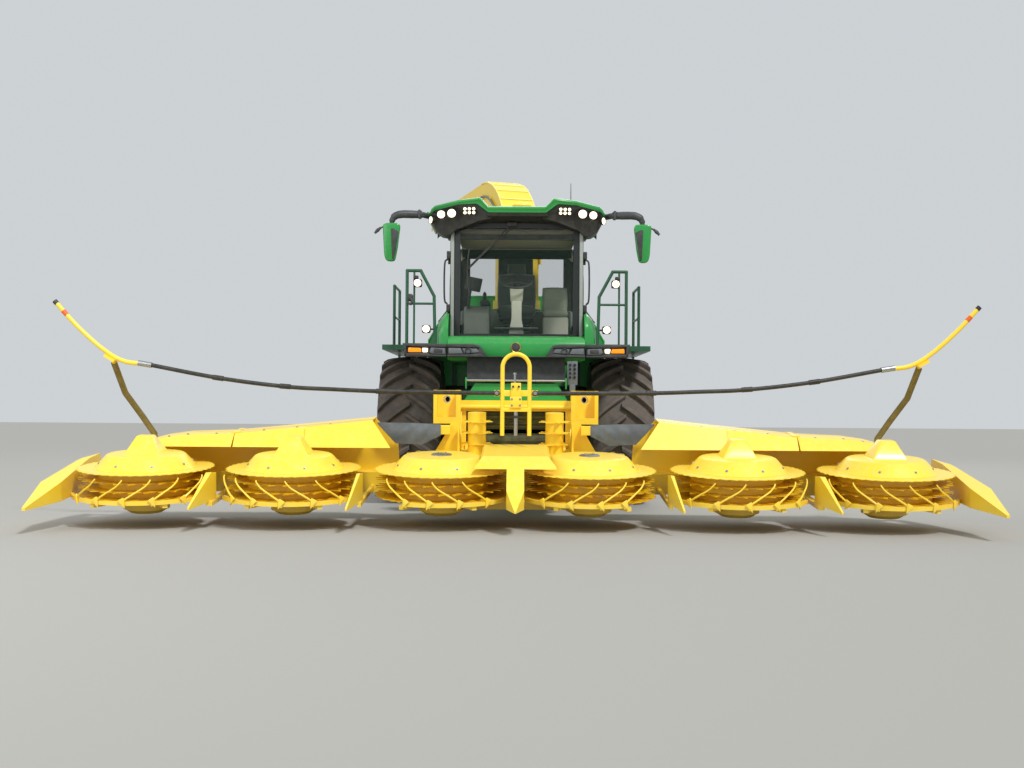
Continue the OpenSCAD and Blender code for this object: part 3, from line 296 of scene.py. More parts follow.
for side, hand in SIDES:
    for k in (1, 2, 3):
        at_rotor = HEADER @ Matrix.Translation((hand * (k - 0.5) * ROTOR_PITCH, 0, 0))
        bm = bmesh.new()
        # knife disc, two star discs and the top disc
        # the knife and star discs carry the worn paint with its painted shade, the top disc the header's
        # enamel
        add_plate(bm, saw_teeth(36, DISC_R - 0.026, DISC_R, hand, 0.5), 0.0, DISC_T, at_rotor, 1)
        for height in STAR_HEIGHTS:
            add_plate(bm, saw_teeth(28, DISC_R - 0.115, DISC_R - 0.015, hand, 0.86),
                      height, height + DISC_T, at_rotor, 1)
        add_plate(bm, saw_teeth(44, DISC_R - 0.024, DISC_R, hand), DRUM_H, DOME_Z, at_rotor, 0)
        # drum wall between the discs, with the weld beads at the discs
        add_lathe(bm, [(DRUM_R, DISC_T), (DRUM_R, DRUM_H)], at_rotor)
        for height in (DISC_T, *STAR_HEIGHTS, DRUM_H):
            bead_top = height + 0.003 if height < DRUM_H else height
            add_lathe(bm, [(DRUM_R, height - 0.008), (DRUM_R + 0.006, height - 0.003),
                           (DRUM_R + 0.006, bead_top)], at_rotor)
        # pressed dome with its rolled foot and rounded shoulder
        add_lathe(bm, [(0.520, DOME_Z), (0.520, DOME_Z + 0.004), (0.502, DOME_Z + 0.006),
                       (0.494, DOME_Z + 0.014), (0.447, DOME_Z + 0.066), (0.398, DOME_Z + 0.119),
                       (0.388, DOME_Z + 0.128), (0.374, DOME_Z + 0.135), (0.352, DOME_Z + DOME_H),
                       (0.120, DOME_Z + DOME_H), (0.0, DOME_Z + DOME_H)], at_rotor)
        top = DOME_Z + DOME_H
        if k == 1:
            # plated cap with six screws
            add_lathe(bm, [(0.105, top), (0.105, top + 0.008), (0.098, top + CAP_T), (0.0, top + CAP_T)],
                      at_rotor, 48, 2)
            for j in range(6):
                turn = Matrix.Rotation(j * math.pi / 3, 4, "Z")
                add_screw(bm, at_rotor @ turn @ Matrix.Translation((0.075, 0, top + CAP_T)), 0.007, 2)
        else:
            # folded cone, welded shut along its corners, on a flange
            rings = []
            for half, height, round_off in ((0.186, 0.0, 0.012), (0.175, 0.005, 0.012), (0.078, 0.174, 0.010),
                                            (0.070, 0.180, 0.008)):
                ring = []
                for sx, sy in ((1, 1), (-1, 1), (-1, -1), (1, -1)):
                    ends = ((half, half - round_off), (half - round_off, half))
                    for ex, ey in (ends if sx * sy > 0 else ends[::-1]):
                        ring.append(bm.verts.new(at_rotor @ Vector((sx * ex, sy * ey, top + height))))
                rings.append(ring)
            for low, high in zip(rings, rings[1:]):
                for j in range(8):
                    bm.faces.new((low[j], low[(j + 1) % 8], high[(j + 1) % 8], high[j]))
            bm.faces.new(rings[-1])
        # screws on the dome's foot
        for j in range(8):
            turn = Matrix.Rotation((j + 0.5) * math.pi / 4, 4, "Z")
            lean = Matrix.Rotation(math.radians(48), 4, "Y")
            add_screw(bm, at_rotor @ turn @ Matrix.Translation((0.462, 0, DOME_Z + 0.052)) @ lean, 0.008, 2)
        piece(f"rotor_{side}_{k}_dressed", bm, [yellow_enamel, worn_shaded_yellow, zinc],
              f"rotor_{side}_{k}", (f"rotor_{side}_{k}",))


# Tyres: radial drive tyres of black rubber, weathered brown-grey, with dried soil in the
# tread and on the shoulders. The lugs run in two rows from the shoulder to the crown.
rubber, rubber_shader = new_material("weathered_tyre_rubber", IOR=1.52)
rubber_place = node(rubber, "ShaderNodeTexCoord").outputs["Object"]
rubber_soil = node(rubber, "ShaderNodeTexNoise", None, Vector=rubber_place, Scale=7.0, Detail=10.0,
                   Roughness=0.7)
rubber_share = node(rubber, "ShaderNodeMapRange", None, i0=rubber_soil.outputs[0], i1=0.35, i2=0.72,
                    i3=0.1, i4=0.85)
rubber_fine = node(rubber, "ShaderNodeTexNoise", None, Vector=rubber_place, Scale=90.0, Detail=6.0)
rubber_tone = node(rubber, "ShaderNodeMix", {"data_type": "RGBA"},
                   i0=rubber_fine.outputs[0], i6=linear("#3a3634"), i7=linear("#4c4743"))
rubber_colour = node(rubber, "ShaderNodeMix", {"data_type": "RGBA"},
                     i0=rubber_share.outputs[0], i6=rubber_tone.outputs[2], i7=linear("#7d7064"))
rubber_rough = node(rubber, "ShaderNodeMapRange", None, i0=rubber_share.outputs[0], i3=0.62, i4=0.95)
# moulding grain and fine cuts, 2 to 10 mm
rubber_bump = node(rubber, "ShaderNodeBump", None, Height=rubber_fine.outputs[0], Strength=0.25,
                   Distance=0.004)
link(rubber_shader, Base_Color=rubber_colour.outputs[2], Roughness=rubber_rough.outputs[0],
     Normal=rubber_bump.outputs[0])

# Wheels: end, side, hand, axle's end, tyre's radius and width, rim's radius, lugs in a row,
# lug height, and the place of the rim's disc across the tyre.
FRONT_TYRE_R, REAR_TYRE_R = 0.9265, 0.735
LUG_SWEEP = 0.36
WHEELS = []
for side, hand in SIDES:
    WHEELS.append(("front", side, hand, (hand * 1.32, 0.0, FRONT_TYRE_R), FRONT_TYRE_R, 0.78, 0.435,
                   21, 0.058, -0.0597))
    WHEELS.append(("rear", side, hand, (hand * 1.25, 3.05, REAR_TYRE_R), REAR_TYRE_R, 0.54, 0.40,
                   19, 0.046, -0.0397))


# One lug: a curved bar on the carcass, from the shoulder's edge over to past the crown's
# middle. It lags behind its start by the sweep's angle and gets narrower on the way.
def add_lug(bm, axle, radius, half_width, height, start, sweep):
    steps = 9
    rings = []
    for i in range(steps + 1):
        t = i / steps
        across = half_width * (0.995 - 1.06 * t)
        angle = start - sweep * t ** 0.8
        crown_drop = 0.055 * (abs(across) / half_width) ** 3
        edge = 1.0 if 0 < t < 1 else 0.86
        tip_r = radius - crown_drop - (0.0 if t > 0 else 0.012)
        foot_r = radius - height - crown_drop - 0.012
        half_tip = (0.026 + 0.012 * (1 - t)) * edge / radius
        half_foot = (0.042 + 0.018 * (1 - t)) / radius
        ring = []
        for r, turn in ((foot_r, -half_foot), (tip_r - 0.006, -half_tip), (tip_r, -half_tip * 0.8),
                        (tip_r, half_tip * 0.8), (tip_r - 0.006, half_tip), (foot_r, half_foot)):
            a = angle + turn
            ring.append(bm.verts.new(axle @ Vector((across, r * math.cos(a), r * math.sin(a)))))
        rings.append(ring)
    for low, high in zip(rings, rings[1:]):
        for j in range(5):
            bm.faces.new((low[j], low[j + 1], high[j + 1], high[j]))
    bm.faces.new(rings[0])
    bm.faces.new(rings[-1][::-1])


# Rims: rolled and welded steel, yellow like the header, with a bolted disc, eight hand
# holes and the hub's planetary cover in the middle.
PLATE_T = 0.018
DISC_STEPS = 64
for end, side, hand, centre, tyre_r, tyre_w, rim_r, lugs, lug_h, disc_x in WHEELS:
    axle = Matrix.Translation(centre) @ Matrix.Scale(hand, 4, (1, 0, 0))
    spin = axle @ Matrix.Rotation(math.radians(90), 4, "Y")
    half = tyre_w / 2
    # carcass: bead, bulged sidewall with its raised rings, shoulder and crown
    flank = [(rim_r - 0.012, half - 0.076), (rim_r + 0.012, half - 0.062), (rim_r + 0.040, half - 0.036),
             (rim_r + 0.075, half - 0.016), (rim_r + 0.100, half - 0.010), (rim_r + 0.106, half - 0.004),
             (rim_r + 0.118, half - 0.004), (rim_r + 0.124, half - 0.002),
             ((tyre_r + rim_r) / 2 + 0.01, half), (tyre_r - 0.145, half - 0.006),
             (tyre_r - 0.110, half - 0.022), (tyre_r - lug_h - 0.050, half - 0.050),
             (tyre_r - lug_h - 0.022, half - 0.110), (tyre_r - lug_h - 0.006, half * 0.4),
             (tyre_r - lug_h, 0.0)]
    bm = bmesh.new()
    add_lathe(bm, flank + [(r, -w) for r, w in flank[-2::-1]], spin, 128, 0)
    for k in range(lugs):
        for row in (1, -1):
            start = 2 * math.pi * (k + (0.5 if row > 0 else 0.0)) / lugs
            at_row = axle @ Matrix.Scale(row, 4, (1, 0, 0))
            add_lug(bm, at_row, tyre_r, half - 0.012, lug_h, start, LUG_SWEEP * FRONT_TYRE_R / tyre_r)
    piece(f"tyre_{end}_{side}_dressed", bm, [rubber], f"wheel_{end}_{side}",
          (f"tyre_{end}_{side}",), 40)

    bm = bmesh.new()
    depth = half - 0.070
    barrel = rim_r - 0.012
    add_lathe(bm, [(rim_r + 0.004, -depth), (rim_r + 0.006, -depth - 0.008), (rim_r, -depth - 0.014),
                   (barrel - 0.030, -depth - 0.014), (barrel - 0.030, -depth + 0.040),
                   (barrel - 0.060, -depth + 0.090), (barrel - 0.060, depth - 0.090),
                   (barrel - 0.030, depth - 0.040), (barrel - 0.030, depth + 0.010),
                   (rim_r - 0.004, depth + 0.014), (rim_r + 0.005, depth + 0.010), (rim_r + 0.006, depth),
                   (barrel - 0.012, depth), (barrel - 0.012, depth - 0.046), (barrel - 0.045, depth - 0.096),
                   (barrel - 0.045, -depth + 0.096), (barrel - 0.012, -depth + 0.046),
                   (barrel - 0.012, -depth)], spin, 96, 0, True)
    # dished disc with eight hand holes, cut as a ring of windows
    rows = [(barrel - 0.050, 0.0), (barrel - 0.105, 0.004), (barrel - 0.178, 0.010), (0.165, 0.014)]
    for face in (0.0, PLATE_T):
        for (r0, z0), (r1, z1) in zip(rows, rows[1:]):
            for j in range(DISC_STEPS):
                if r0 == rows[1][0] and j % 8 in (3, 4):
                    continue
                a0, a1 = 2 * math.pi * j / DISC_STEPS, 2 * math.pi * (j + 1) / DISC_STEPS
                corners = [(r0, a0, z0), (r0, a1, z0), (r1, a1, z1), (r1, a0, z1)]
                bm.faces.new([round_vert(bm, spin, r, a, disc_x + face + z) for r, a, z in corners])
    # walls of the hand holes between the disc's two faces
    for j in range(8):
        a0, a1 = 2 * math.pi * (8 * j + 3) / DISC_STEPS, 2 * math.pi * (8 * j + 5) / DISC_STEPS
        middle = (a0 + a1) / 2
        (r0, z0), (r1, z1) = rows[1], rows[2]
        loop = [(r0, a0, z0), (r0, middle, z0), (r0, a1, z0), (r1, a1, z1), (r1, middle, z1), (r1, a0, z1)]
        for here, there in zip(loop, loop[1:] + loop[:1]):
            wall = [(*here, 0), (*there, 0), (*there, PLATE_T), (*here, PLATE_T)]
            bm.faces.new([round_vert(bm, spin, r, a, disc_x + z + up) for r, a, z, up in wall])
    # hub cover and wheel nuts
    add_lathe(bm, [(0.165, disc_x), (0.165, disc_x + 0.085), (0.150, disc_x + 0.100), (0.110, disc_x + 0.108),
                   (0.060, disc_x + 0.110), (0.0, disc_x + 0.110)], spin, 48, 0)
    for j in range(12):
        nut = spin @ Matrix.Rotation(j * math.pi / 6, 4, "Z") @ Matrix.Translation((0.200, 0, disc_x + 0.031))
        add_screw(bm, nut, 0.014, 1)
    bmesh.ops.remove_doubles(bm, verts=bm.verts, dist=0.0002)
    piece(f"rim_{end}_{side}_dressed", bm, [yellow_enamel, zinc], f"wheel_{end}_{side}",
          (f"rim_{end}_{side}",), 35)


# Green enamel of the body: the same sprayed coat in deep grass green.
green_enamel = enamel("green_enamel", "#128a36", "#2a9a48", "#b9bb97", 0.18, 0.28)
dark_green_enamel = enamel("dark_green_enamel", "#0b4a2c", "#115637", "#8f927a", 0.22, 0.38)


# Moulded or coated parts in one dark tone: even colour, a fine moulded grain and dust.
def dark_coat(name, tone, dusty, dust_share, roughness, grain_scale, grain_depth):
    material, shader = new_material(name, IOR=1.5)
    place = node(material, "ShaderNodeTexCoord").outputs["Object"]
    patch = node(material, "ShaderNodeTexNoise", None, Vector=place, Scale=14.0, Detail=8.0, Roughness=0.7)
    share = node(material, "ShaderNodeMapRange", None, i0=patch.outputs[0], i1=0.4, i2=0.75, i3=0.05,
                 i4=dust_share)
    colour = node(material, "ShaderNodeMix", {"data_type": "RGBA"},
                  i0=share.outputs[0], i6=linear(tone), i7=linear(dusty))
    rough = node(material, "ShaderNodeMapRange", None, i0=share.outputs[0], i3=roughness, i4=0.95)
    grain = node(material, "ShaderNodeTexNoise", None, Vector=place, Scale=grain_scale, Detail=3.0)
    bump = node(material, "ShaderNodeBump", None, Height=grain.outputs[0], Strength=0.2, Distance=grain_depth)
    link(shader, Base_Color=colour.outputs[2], Roughness=rough.outputs[0], Normal=bump.outputs[0])
    return material


black_enamel = dark_coat("black_enamel", "#1a1c1d", "#6f6a5e", 0.35, 0.4, 300.0, 0.001)
moulded_black = dark_coat("moulded_black_plastic", "#26292c", "#77736a", 0.3, 0.5, 450.0, 0.001)
cast_iron = dark_coat("painted_cast_iron", "#3b403c", "#837a69", 0.5, 0.6, 160.0, 0.003)
worn_steel = dark_coat("crop_worn_steel", "#4a4740", "#7d8a4c", 0.7, 0.5, 60.0, 0.004)
rubber_sheet = dark_coat("rubber_sheet", "#2b2d30", "#6e6a62", 0.35, 0.6, 200.0, 0.002)

# Laminated glass of the cab: clear with a slight green body tint and clean reflections.
cab_glass, _ = new_material("tinted_cab_glass", Base_Color=linear("#43584d"), Roughness=0.02, IOR=1.45,
                            Alpha=0.09)

# Frame, axles, panels, platforms, feeder and spout keep their CAD shapes and only take a
# finish. The nodes that a piece replaces further down have one here too.
CAD_FINISH = {
    "chassis": dark_green_enamel, "engine": cast_iron, "front_axle": black_enamel, "rear_axle": black_enamel,
    "tanks": moulded_black, "body_panels": green_enamel, "cowl": green_enamel, "lamp_bar": moulded_black,
    "cab_shell": black_enamel, "cab_roof": green_enamel, "cab_glass": cab_glass, "seats": moulded_black,
    "steering_console": moulded_black, "mirrors": moulded_black, "platforms": dark_green_enamel,
    "knuckle_left": black_enamel, "knuckle_right": black_enamel, "feeder_house": green_enamel,
    "header_centre": yellow_enamel, "hoop": yellow_enamel, "feed_roll_upper": worn_steel,
    "feed_roll_lower": worn_steel, "feed_drum_left": yellow_enamel, "feed_drum_right": yellow_enamel,
    "wing_left": yellow_enamel, "wing_right": yellow_enamel, "canvas_left": rubber_sheet,
    "canvas_right": rubber_sheet, "crop_pipe_left": black_enamel, "crop_pipe_right": black_enamel,
    "spout_turret": yellow_enamel, "spout_boom": yellow_enamel, "spout_flap": yellow_enamel,
    "cab_door_left": black_enamel, "cab_door_right": black_enamel, "service_door_left": green_enamel,
    "service_door_right": green_enamel, "rear_door": moulded_black,
}
for cad_name, finish in CAD_FINISH.items():
    cad_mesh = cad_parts[cad_name].data
    cad_mesh.materials.clear()
    cad_mesh.materials.append(finish)


# Roof: a green moulded cap, gull-shaped at the front, over dark lamp pods. The pods hang
# beside and in front of the windscreen's upper corners and carry the working lamps.
# Outlines lie in X and Z where they are seen from the front, in Y and Z from the side.
FRONT = Matrix(((1, 0, 0, 0), (0, 0, -1, 0), (0, 1, 0, 0), (0, 0, 0, 1)))
SIDE = Matrix(((0, 0, 1, 0), (1, 0, 0, 0), (0, 1, 0, 0), (0, 0, 0, 1)))


# Flat part with rounded edges, seen from above (Matrix()), from the front or from the side.
def add_rounded(bm, outline, low, high, width, place=Matrix(), index=0, steps=2):
    part = bmesh.new()
    add_plate(part, outline, low, high)
    bmesh.ops.recalc_face_normals(part, faces=part.faces)
    bmesh.ops.bevel(part, geom=part.edges[:], offset=width, segments=steps, profile=0.5,
                    affect="EDGES", clamp_overlap=True)
    verts = {v: bm.verts.new(place @ v.co) for v in part.verts}
    for face in part.faces:
        bm.faces.new([verts[v] for v in face.verts]).material_index = index
    part.free()


# The same with the outline in X and Z, from the front to the back.
def add_front(bm, outline, y0, y1, width, index=0, place=Matrix(), steps=2):
    add_rounded(bm, outline, -y1, -y0, width, place @ FRONT, index, steps)


# The same with the outline in Y and Z, across the machine.
def add_side(bm, outline, x0, x1, width, index=0, place=Matrix(), steps=2):
    add_rounded(bm, outline, x0, x1, width, place @ SIDE, index, steps)


# Block with rounded edges between its lowest and highest corners.
def add_block(bm, low, high, width, index=0, place=Matrix(), steps=2):
    outline = [(low[0], low[1]), (high[0], low[1]), (high[0], high[1]), (low[0], high[1])]
    add_rounded(bm, outline, low[2], high[2], width, place, index, steps)


# Block that reaches the same way to both sides of x; its corners give Y and Z only.
def add_across(bm, x, half, low, high, width, index=0, place=Matrix(), steps=2):
    add_block(bm, (x - half, *low), (x + half, *high), width, index, place, steps)


# Smooth line through its points, and a round bar or hose along such a line.
def smooth_line(points, steps):
    points = [Vector(p) for p in points]
    ends = [2 * points[0] - points[1]] + points + [2 * points[-1] - points[-2]]
    line = []
    for a, b, c, d in zip(ends, ends[1:], ends[2:], ends[3:]):
        for i in range(steps):
            t = i / steps
            line.append(0.5 * (2 * b + (c - a) * t + (2 * a - 5 * b + 4 * c - d) * t * t
                               + (3 * b - a - 3 * c + d) * t ** 3))
    return line + [points[-1]]


def add_tube(bm, points, radius, index=0, sides=14, steps=6):
    line = smooth_line(points, steps) if steps else [Vector(p) for p in points]
    radii = radius if isinstance(radius, (list, tuple)) else [radius] * len(line)
    ahead = (line[1] - line[0]).normalized()
    across = ahead.orthogonal().normalized()
    rings = []
    for i, point in enumerate(line):
        before, after = line[max(i - 1, 0)], line[min(i + 1, len(line) - 1)]
        turn = (after - before).normalized()
        across = (across - turn * across.dot(turn)).normalized()
        up = turn.cross(across)
        r = radii[min(i * len(radii) // len(line), len(radii) - 1)]
        rings.append([bm.verts.new(point + r * (math.cos(2 * math.pi * k / sides) * across
                                                + math.sin(2 * math.pi * k / sides) * up))
                      for k in range(sides)])
    for low, high in zip(rings, rings[1:]):
        for k in range(sides):
            n = (k + 1) % sides
            bm.faces.new((low[k], low[n], high[n], high[k])).material_index = index
    bm.faces.new(rings[0][::-1]).material_index = index
    bm.faces.new(rings[-1]).material_index = index


# Working lamps: a black housing under a lit lens of moulded polycarbonate.
lamp_lens, lamp_shader = new_material("lit_lamp_lens", Roughness=0.12, IOR=1.49, Emission_Strength=2.2)
lens_place = node(lamp_lens, "ShaderNodeTexCoord").outputs["Object"]
# fluted lens, ribs 6 mm apart
lens_ribs = node(lamp_lens, "ShaderNodeTexWave", {"bands_direction": "X"}, Vector=lens_place, Scale=26.0)
lens_tone = node(lamp_lens, "ShaderNodeMix", {"data_type": "RGBA"},
                 i0=lens_ribs.outputs[1], i6=linear("#fff3d6"), i7=linear("#f2dcae"))
link(lamp_shader, Base_Color=lens_tone.outputs[2], Emission_Color=lens_tone.outputs[2])

# The roof's upper and lower lines in X and Z, from the middle to the side, and its front
# edge seen from above.
ROOF_HALF, ROOF_FRONT, ROOF_REAR_LOW = 1.06, -1.45, 3.45
ROOF_TOP = [(0.0, 3.584), (0.328, 3.584), (0.345, 3.592), (0.425, 3.680), (0.448, 3.688), (0.70, 3.660),
            (0.99, 3.622), (1.035, 3.600), (ROOF_HALF, 3.555)]
ROOF_EDGE = [(ROOF_HALF, 3.505), (1.035, 3.540), (0.99, 3.562), (0.70, 3.604), (0.49, 3.612), (0.465, 3.604),
             (0.355, 3.518), (0.335, 3.509), (0.0, 3.509)]


def roof_plan(x):
    ax = abs(x)
    if ax < 0.40:
        return ROOF_FRONT
    if ax < 0.90:
        return ROOF_FRONT + 0.06 * (ax - 0.40) / 0.50
    return -1.39 + 0.33 * (ax - 0.90) / 0.16


# The pods' face, behind the roof's edge, leans back towards its foot.
def pod_face(x, z):
    return roof_plan(x) + 0.035 + 0.5 * max(3.60 - z, 0.0)


bm = bmesh.new()
top_line = [(-x, z) for x, z in ROOF_TOP[::-1]] + ROOF_TOP[1:]
edge_line = [(-x, z) for x, z in ROOF_EDGE] + ROOF_EDGE[::-1][1:]
# the cap: rows from the front lip over the crown to the rear edge
rows = []
for back, drop in ((0.012, 0.050), (0.0, 0.030), (0.006, 0.010), (0.030, 0.0), (0.35, -0.004), (1.2, -0.006),
                   (1.9, 0.0), (2.12, 0.014), (2.17, 0.045), (2.18, 0.12)):
    row = []
    for x, z in top_line:
        y = roof_plan(x) + back if back < 1.0 else ROOF_FRONT + back
        if back >= 1.9 and abs(x) > 0.86:
            y -= (abs(x) - 0.86) * 0.9
        # behind the front band the gull wings flatten towards the middle
        flat = min(max((back - 0.35) / 0.9, 0.0), 1.0)
        z_here = (z + (3.63 - z) * flat * 0.6 if abs(x) < 0.9 else z) - drop
        row.append(bm.verts.new((x, y, max(z_here, ROOF_REAR_LOW) if back > 2.0 else z_here)))
    rows.append(row)
lip = [bm.verts.new((x, roof_plan(x) + 0.014, z)) for x, z in edge_line]
rows.insert(0, lip)
for low, high in zip(rows, rows[1:]):
    for k in range(len(low) - 1):
        bm.faces.new((low[k], low[k + 1], high[k + 1], high[k]))
# rolled sides down to the pods, and the underside behind the front lip
under = [bm.verts.new((x, roof_plan(x) + 0.10, z + 0.01)) for x, z in edge_line]
for k in range(len(lip) - 1):
    bm.faces.new((under[k], under[k + 1], lip[k + 1], lip[k]))
for sx in (1, -1):
    add_side(bm, [(-1.06, 3.50), (0.50, 3.50), (0.54, 3.54), (0.50, 3.57), (-1.06, 3.57)],
             sx * ROOF_HALF - 0.03, sx * ROOF_HALF, 0.012)
piece("roof_cap", bm, [green_enamel], "chassis", ("cab_roof",), 40)

# the pods' outline in X and Z, on the left side
POD_MIDDLE = (0.72, 3.46)
POD = [(0.30, 3.515), (0.36, 3.525), (0.47, 3.612), (0.72, 3.610), (0.98, 3.572), (1.030, 3.545),
       (1.045, 3.47), (0.995, 3.375), (0.955, 3.315), (0.90, 3.272), (0.83, 3.262), (0.79, 3.275),
       (0.735, 3.325), (0.46, 3.42), (0.30, 3.452)]
bm = bmesh.new()
for sx in (1, -1):
    rings = []
    for back in (0.0, 0.012, 0.05, 0.30):
        ring = []
        for x, z in POD:
            shrink = 0.985 if back == 0.0 else 1.0
            pod_x = POD_MIDDLE[0] + (x - POD_MIDDLE[0]) * shrink
            pod_z = POD_MIDDLE[1] + (z - POD_MIDDLE[1]) * shrink
            ring.append(bm.verts.new((sx * pod_x, pod_face(x, z) + back, pod_z)))
        rings.append(ring)
    for low, high in zip(rings, rings[1:]):
        for k in range(len(POD)):
            n = (k + 1) % len(POD)
            bm.faces.new((low[k], low[n], high[n], high[k]))
    bm.faces.new(rings[0])
    # side of the roof back along the cab
    add_side(bm, [(-1.12, 3.56), (-1.10, 3.49), (0.52, 3.49), (0.54, 3.56)], sx * 0.92 - 0.115,
             sx * 0.92 + 0.115, 0.02)
# brow over the windscreen and the ceiling of the overhang
add_side(bm, [(-1.425, 3.53), (-1.40, 3.47), (-1.15, 3.43), (-1.10, 3.43), (-1.10, 3.60), (-1.40, 3.56)],
         -0.36, 0.36, 0.008)
add_block(bm, (-0.92, -1.16, 3.432), (0.92, 0.62, 3.60), 0.01)
piece("roof_lamp_pods", bm, [moulded_black], "chassis", (), 38)


# Round lamp whose axis is the place's Z: the housing is the second material, the lens the first.
def add_lamp(bm, place, radius, depth=0.05):
    add_lathe(bm, [(0, -depth), (radius * 0.7, -depth), (radius * 1.05, -depth * 0.4), (radius * 1.12, 0.004),
                   (radius * 1.02, 0.008), (radius * 0.98, 0.0)], place, 28, 1)
    add_lathe(bm, [(radius * 0.98, 0.0), (radius * 0.6, 0.006), (0, 0.009)], place, 28, 0)


# turns for lamps, screws and pins whose axis points forward, or to the rear
LOOK = Matrix.Rotation(math.pi / 2, 4, "X")
LOOK_BACK = Matrix.Rotation(-math.pi / 2, 4, "X")
bm = bmesh.new()
for sx in (1, -1):
    for x, z, r in ((0.778, 3.510, 0.050), (0.905, 3.500, 0.046)):
        y = pod_face(x, z) - 0.006
        add_lamp(bm, Matrix.Translation((sx * x, y, z)) @ LOOK, r)
    # cluster of six diodes
    for i in range(3):
        for j in range(2):
            x, z = 0.515 + 0.052 * i, 3.515 + 0.042 * j
            y = pod_face(x, z) - 0.004
            add_lamp(bm, Matrix.Translation((sx * x, y, z)) @ LOOK, 0.019, depth=0.02)
    # corner lamp looks outwards
    turn = Matrix.Rotation(math.radians(sx * 52), 4, "Z")
    add_lamp(bm, Matrix.Translation((sx * 1.035, -1.165, 3.452)) @ turn @ LOOK, 0.042)
piece("roof_lamps", bm, [lamp_lens, moulded_black], "chassis", (), 40)

# Receiver dome, a moulded yellow cap on its green foot, and the thin whip aerial.
bm = bmesh.new()
at_dome = Matrix.Translation((0.06, -0.90, 3.585))
add_lathe(bm, [(0.0, 0.0), (0.095, 0.0), (0.100, 0.040), (0.090, 0.062), (0.0, 0.062)], at_dome, 40, 1)
add_lathe(bm, [(0.0, 0.060), (0.118, 0.060), (0.124, 0.068), (0.124, 0.082), (0.112, 0.098), (0.080, 0.112),
               (0.0, 0.118)], at_dome, 40, 0)
piece("receiver_dome", bm, [yellow_enamel, green_enamel], "chassis", (), 40)
bm = bmesh.new()
add_lathe(bm, [(0.0, 3.66), (0.022, 3.66), (0.020, 3.71), (0.010, 3.735), (0.006, 3.75), (0.0035, 4.015),
               (0.0, 4.02)], Matrix.Translation((0.67, -0.50, 0)), 16, 0)
piece("aerial", bm, [moulded_black], "chassis", (), 40)


# Cab windows: bonded panes with a black printed edge. The windscreen bulges forward in
# the middle; narrow grey trims cover the corner posts on both sides of it.
screen_edge = dark_coat("bonded_glass_edge", "#1b2021", "#4b5049", 0.15, 0.25, 300.0, 0.0005)
grey_trim = dark_coat("light_grey_trim", "#9aa39d", "#b8b7a6", 0.3, 0.4, 300.0, 0.001)
SCREEN_HALF, SCREEN_LOW, SCREEN_HIGH = 0.745, 2.045, 3.415
COLUMNS, ROWS = 20, 16


def screen_point(u, v, proud=0.0):
    x = SCREEN_HALF * (2 * u - 1)
    z = SCREEN_LOW + (SCREEN_HIGH - SCREEN_LOW) * v
    bulge = 0.055 * (1 - (2 * u - 1) ** 2)
    return Vector((x, -1.124 - bulge - proud, z))


# Sheet through rows of points.
def add_sheet_grid(bm, rows):
    grid = [[bm.verts.new(point) for point in row] for row in rows]
    for low, high in zip(grid, grid[1:]):
        for k in range(len(low) - 1):
            bm.faces.new((low[k], low[k + 1], high[k + 1], high[k]))


bm = bmesh.new()
for proud in (0.0, 0.006):
    add_sheet_grid(bm, [[screen_point(i / COLUMNS, j / ROWS, proud) for i in range(COLUMNS + 1)]
                        for j in range(ROWS + 1)])
# rear pane, and the narrow pane behind each door
add_front(bm, [(-0.62, 2.50), (0.62, 2.50), (0.62, 3.28), (-0.62, 3.28)], 0.522, 0.530, 0.003)
for sx in (1, -1):
    add_side(bm, [(0.16, 2.30), (0.46, 2.30), (0.46, 3.23), (0.16, 3.23)], sx * 0.776 - 0.004,
             sx * 0.776 + 0.004, 0.002)
piece("cab_panes", bm, [cab_glass], "chassis", ("cab_glass",), 40)

bm = bmesh.new()
# black printed border round the windscreen, following its bulge: its sides, foot and head
for j0, j1, i0, i1 in ((0, ROWS, 0, 0.9), (0, ROWS, COLUMNS - 0.9, COLUMNS), (0, 0.55, 0, COLUMNS),
                       (ROWS - 0.7, ROWS, 0, COLUMNS)):
    across = [i0 + (i1 - i0) * k / 20 for k in range(21)]
    upward = [j0 + (j1 - j0) * k / 4 for k in range(5)]
    for proud in (0.0075, -0.0015):
        add_sheet_grid(bm, [[screen_point(i / COLUMNS, j / ROWS, proud) for i in across] for j in upward])
piece("windscreen_border", bm, [screen_edge], "chassis", (), 40)

# Outline in X and Z on the side sx; it keeps its sense of rotation.
def on_side(sx, points):
    return [(sx * x, z) for x, z in points][::sx]


bm = bmesh.new()
for sx in (1, -1):
    add_front(bm, on_side(sx, [(0.752, 2.06), (0.795, 2.06), (0.795, 3.28), (0.752, 3.40)]),
              -1.150, -1.110, 0.012)
piece("corner_trims", bm, [grey_trim], "chassis", (), 40)

# Wiper: two black arms from the brow down to the left of the picture, with a long blade.
bm = bmesh.new()
pivot = screen_point(0.455, 0.985, 0.03)
tip = screen_point(0.10, 0.60, 0.022)
add_tube(bm, [pivot, pivot.lerp(tip, 0.5) + Vector((0, -0.012, 0)), tip], 0.008, 0, 10, 5)
shift = Vector((0.035, 0, -0.012))
add_tube(bm, [pivot + shift, (pivot + shift).lerp(tip, 0.5) + Vector((0, -0.012, 0)), tip + shift * 0.4],
         0.006, 0, 10, 5)
add_block(bm, (pivot.x - 0.05, pivot.y - 0.02, pivot.z - 0.02),
          (pivot.x + 0.07, pivot.y + 0.03, pivot.z + 0.03), 0.008)

add_tube(bm, [screen_point(0.115, 0.78, 0.013), screen_point(0.10, 0.60, 0.014),
              screen_point(0.115, 0.36, 0.013)],
         0.007, 0, 8, 6)
piece("windscreen_wiper", bm, [moulded_black], "chassis", (), 40)

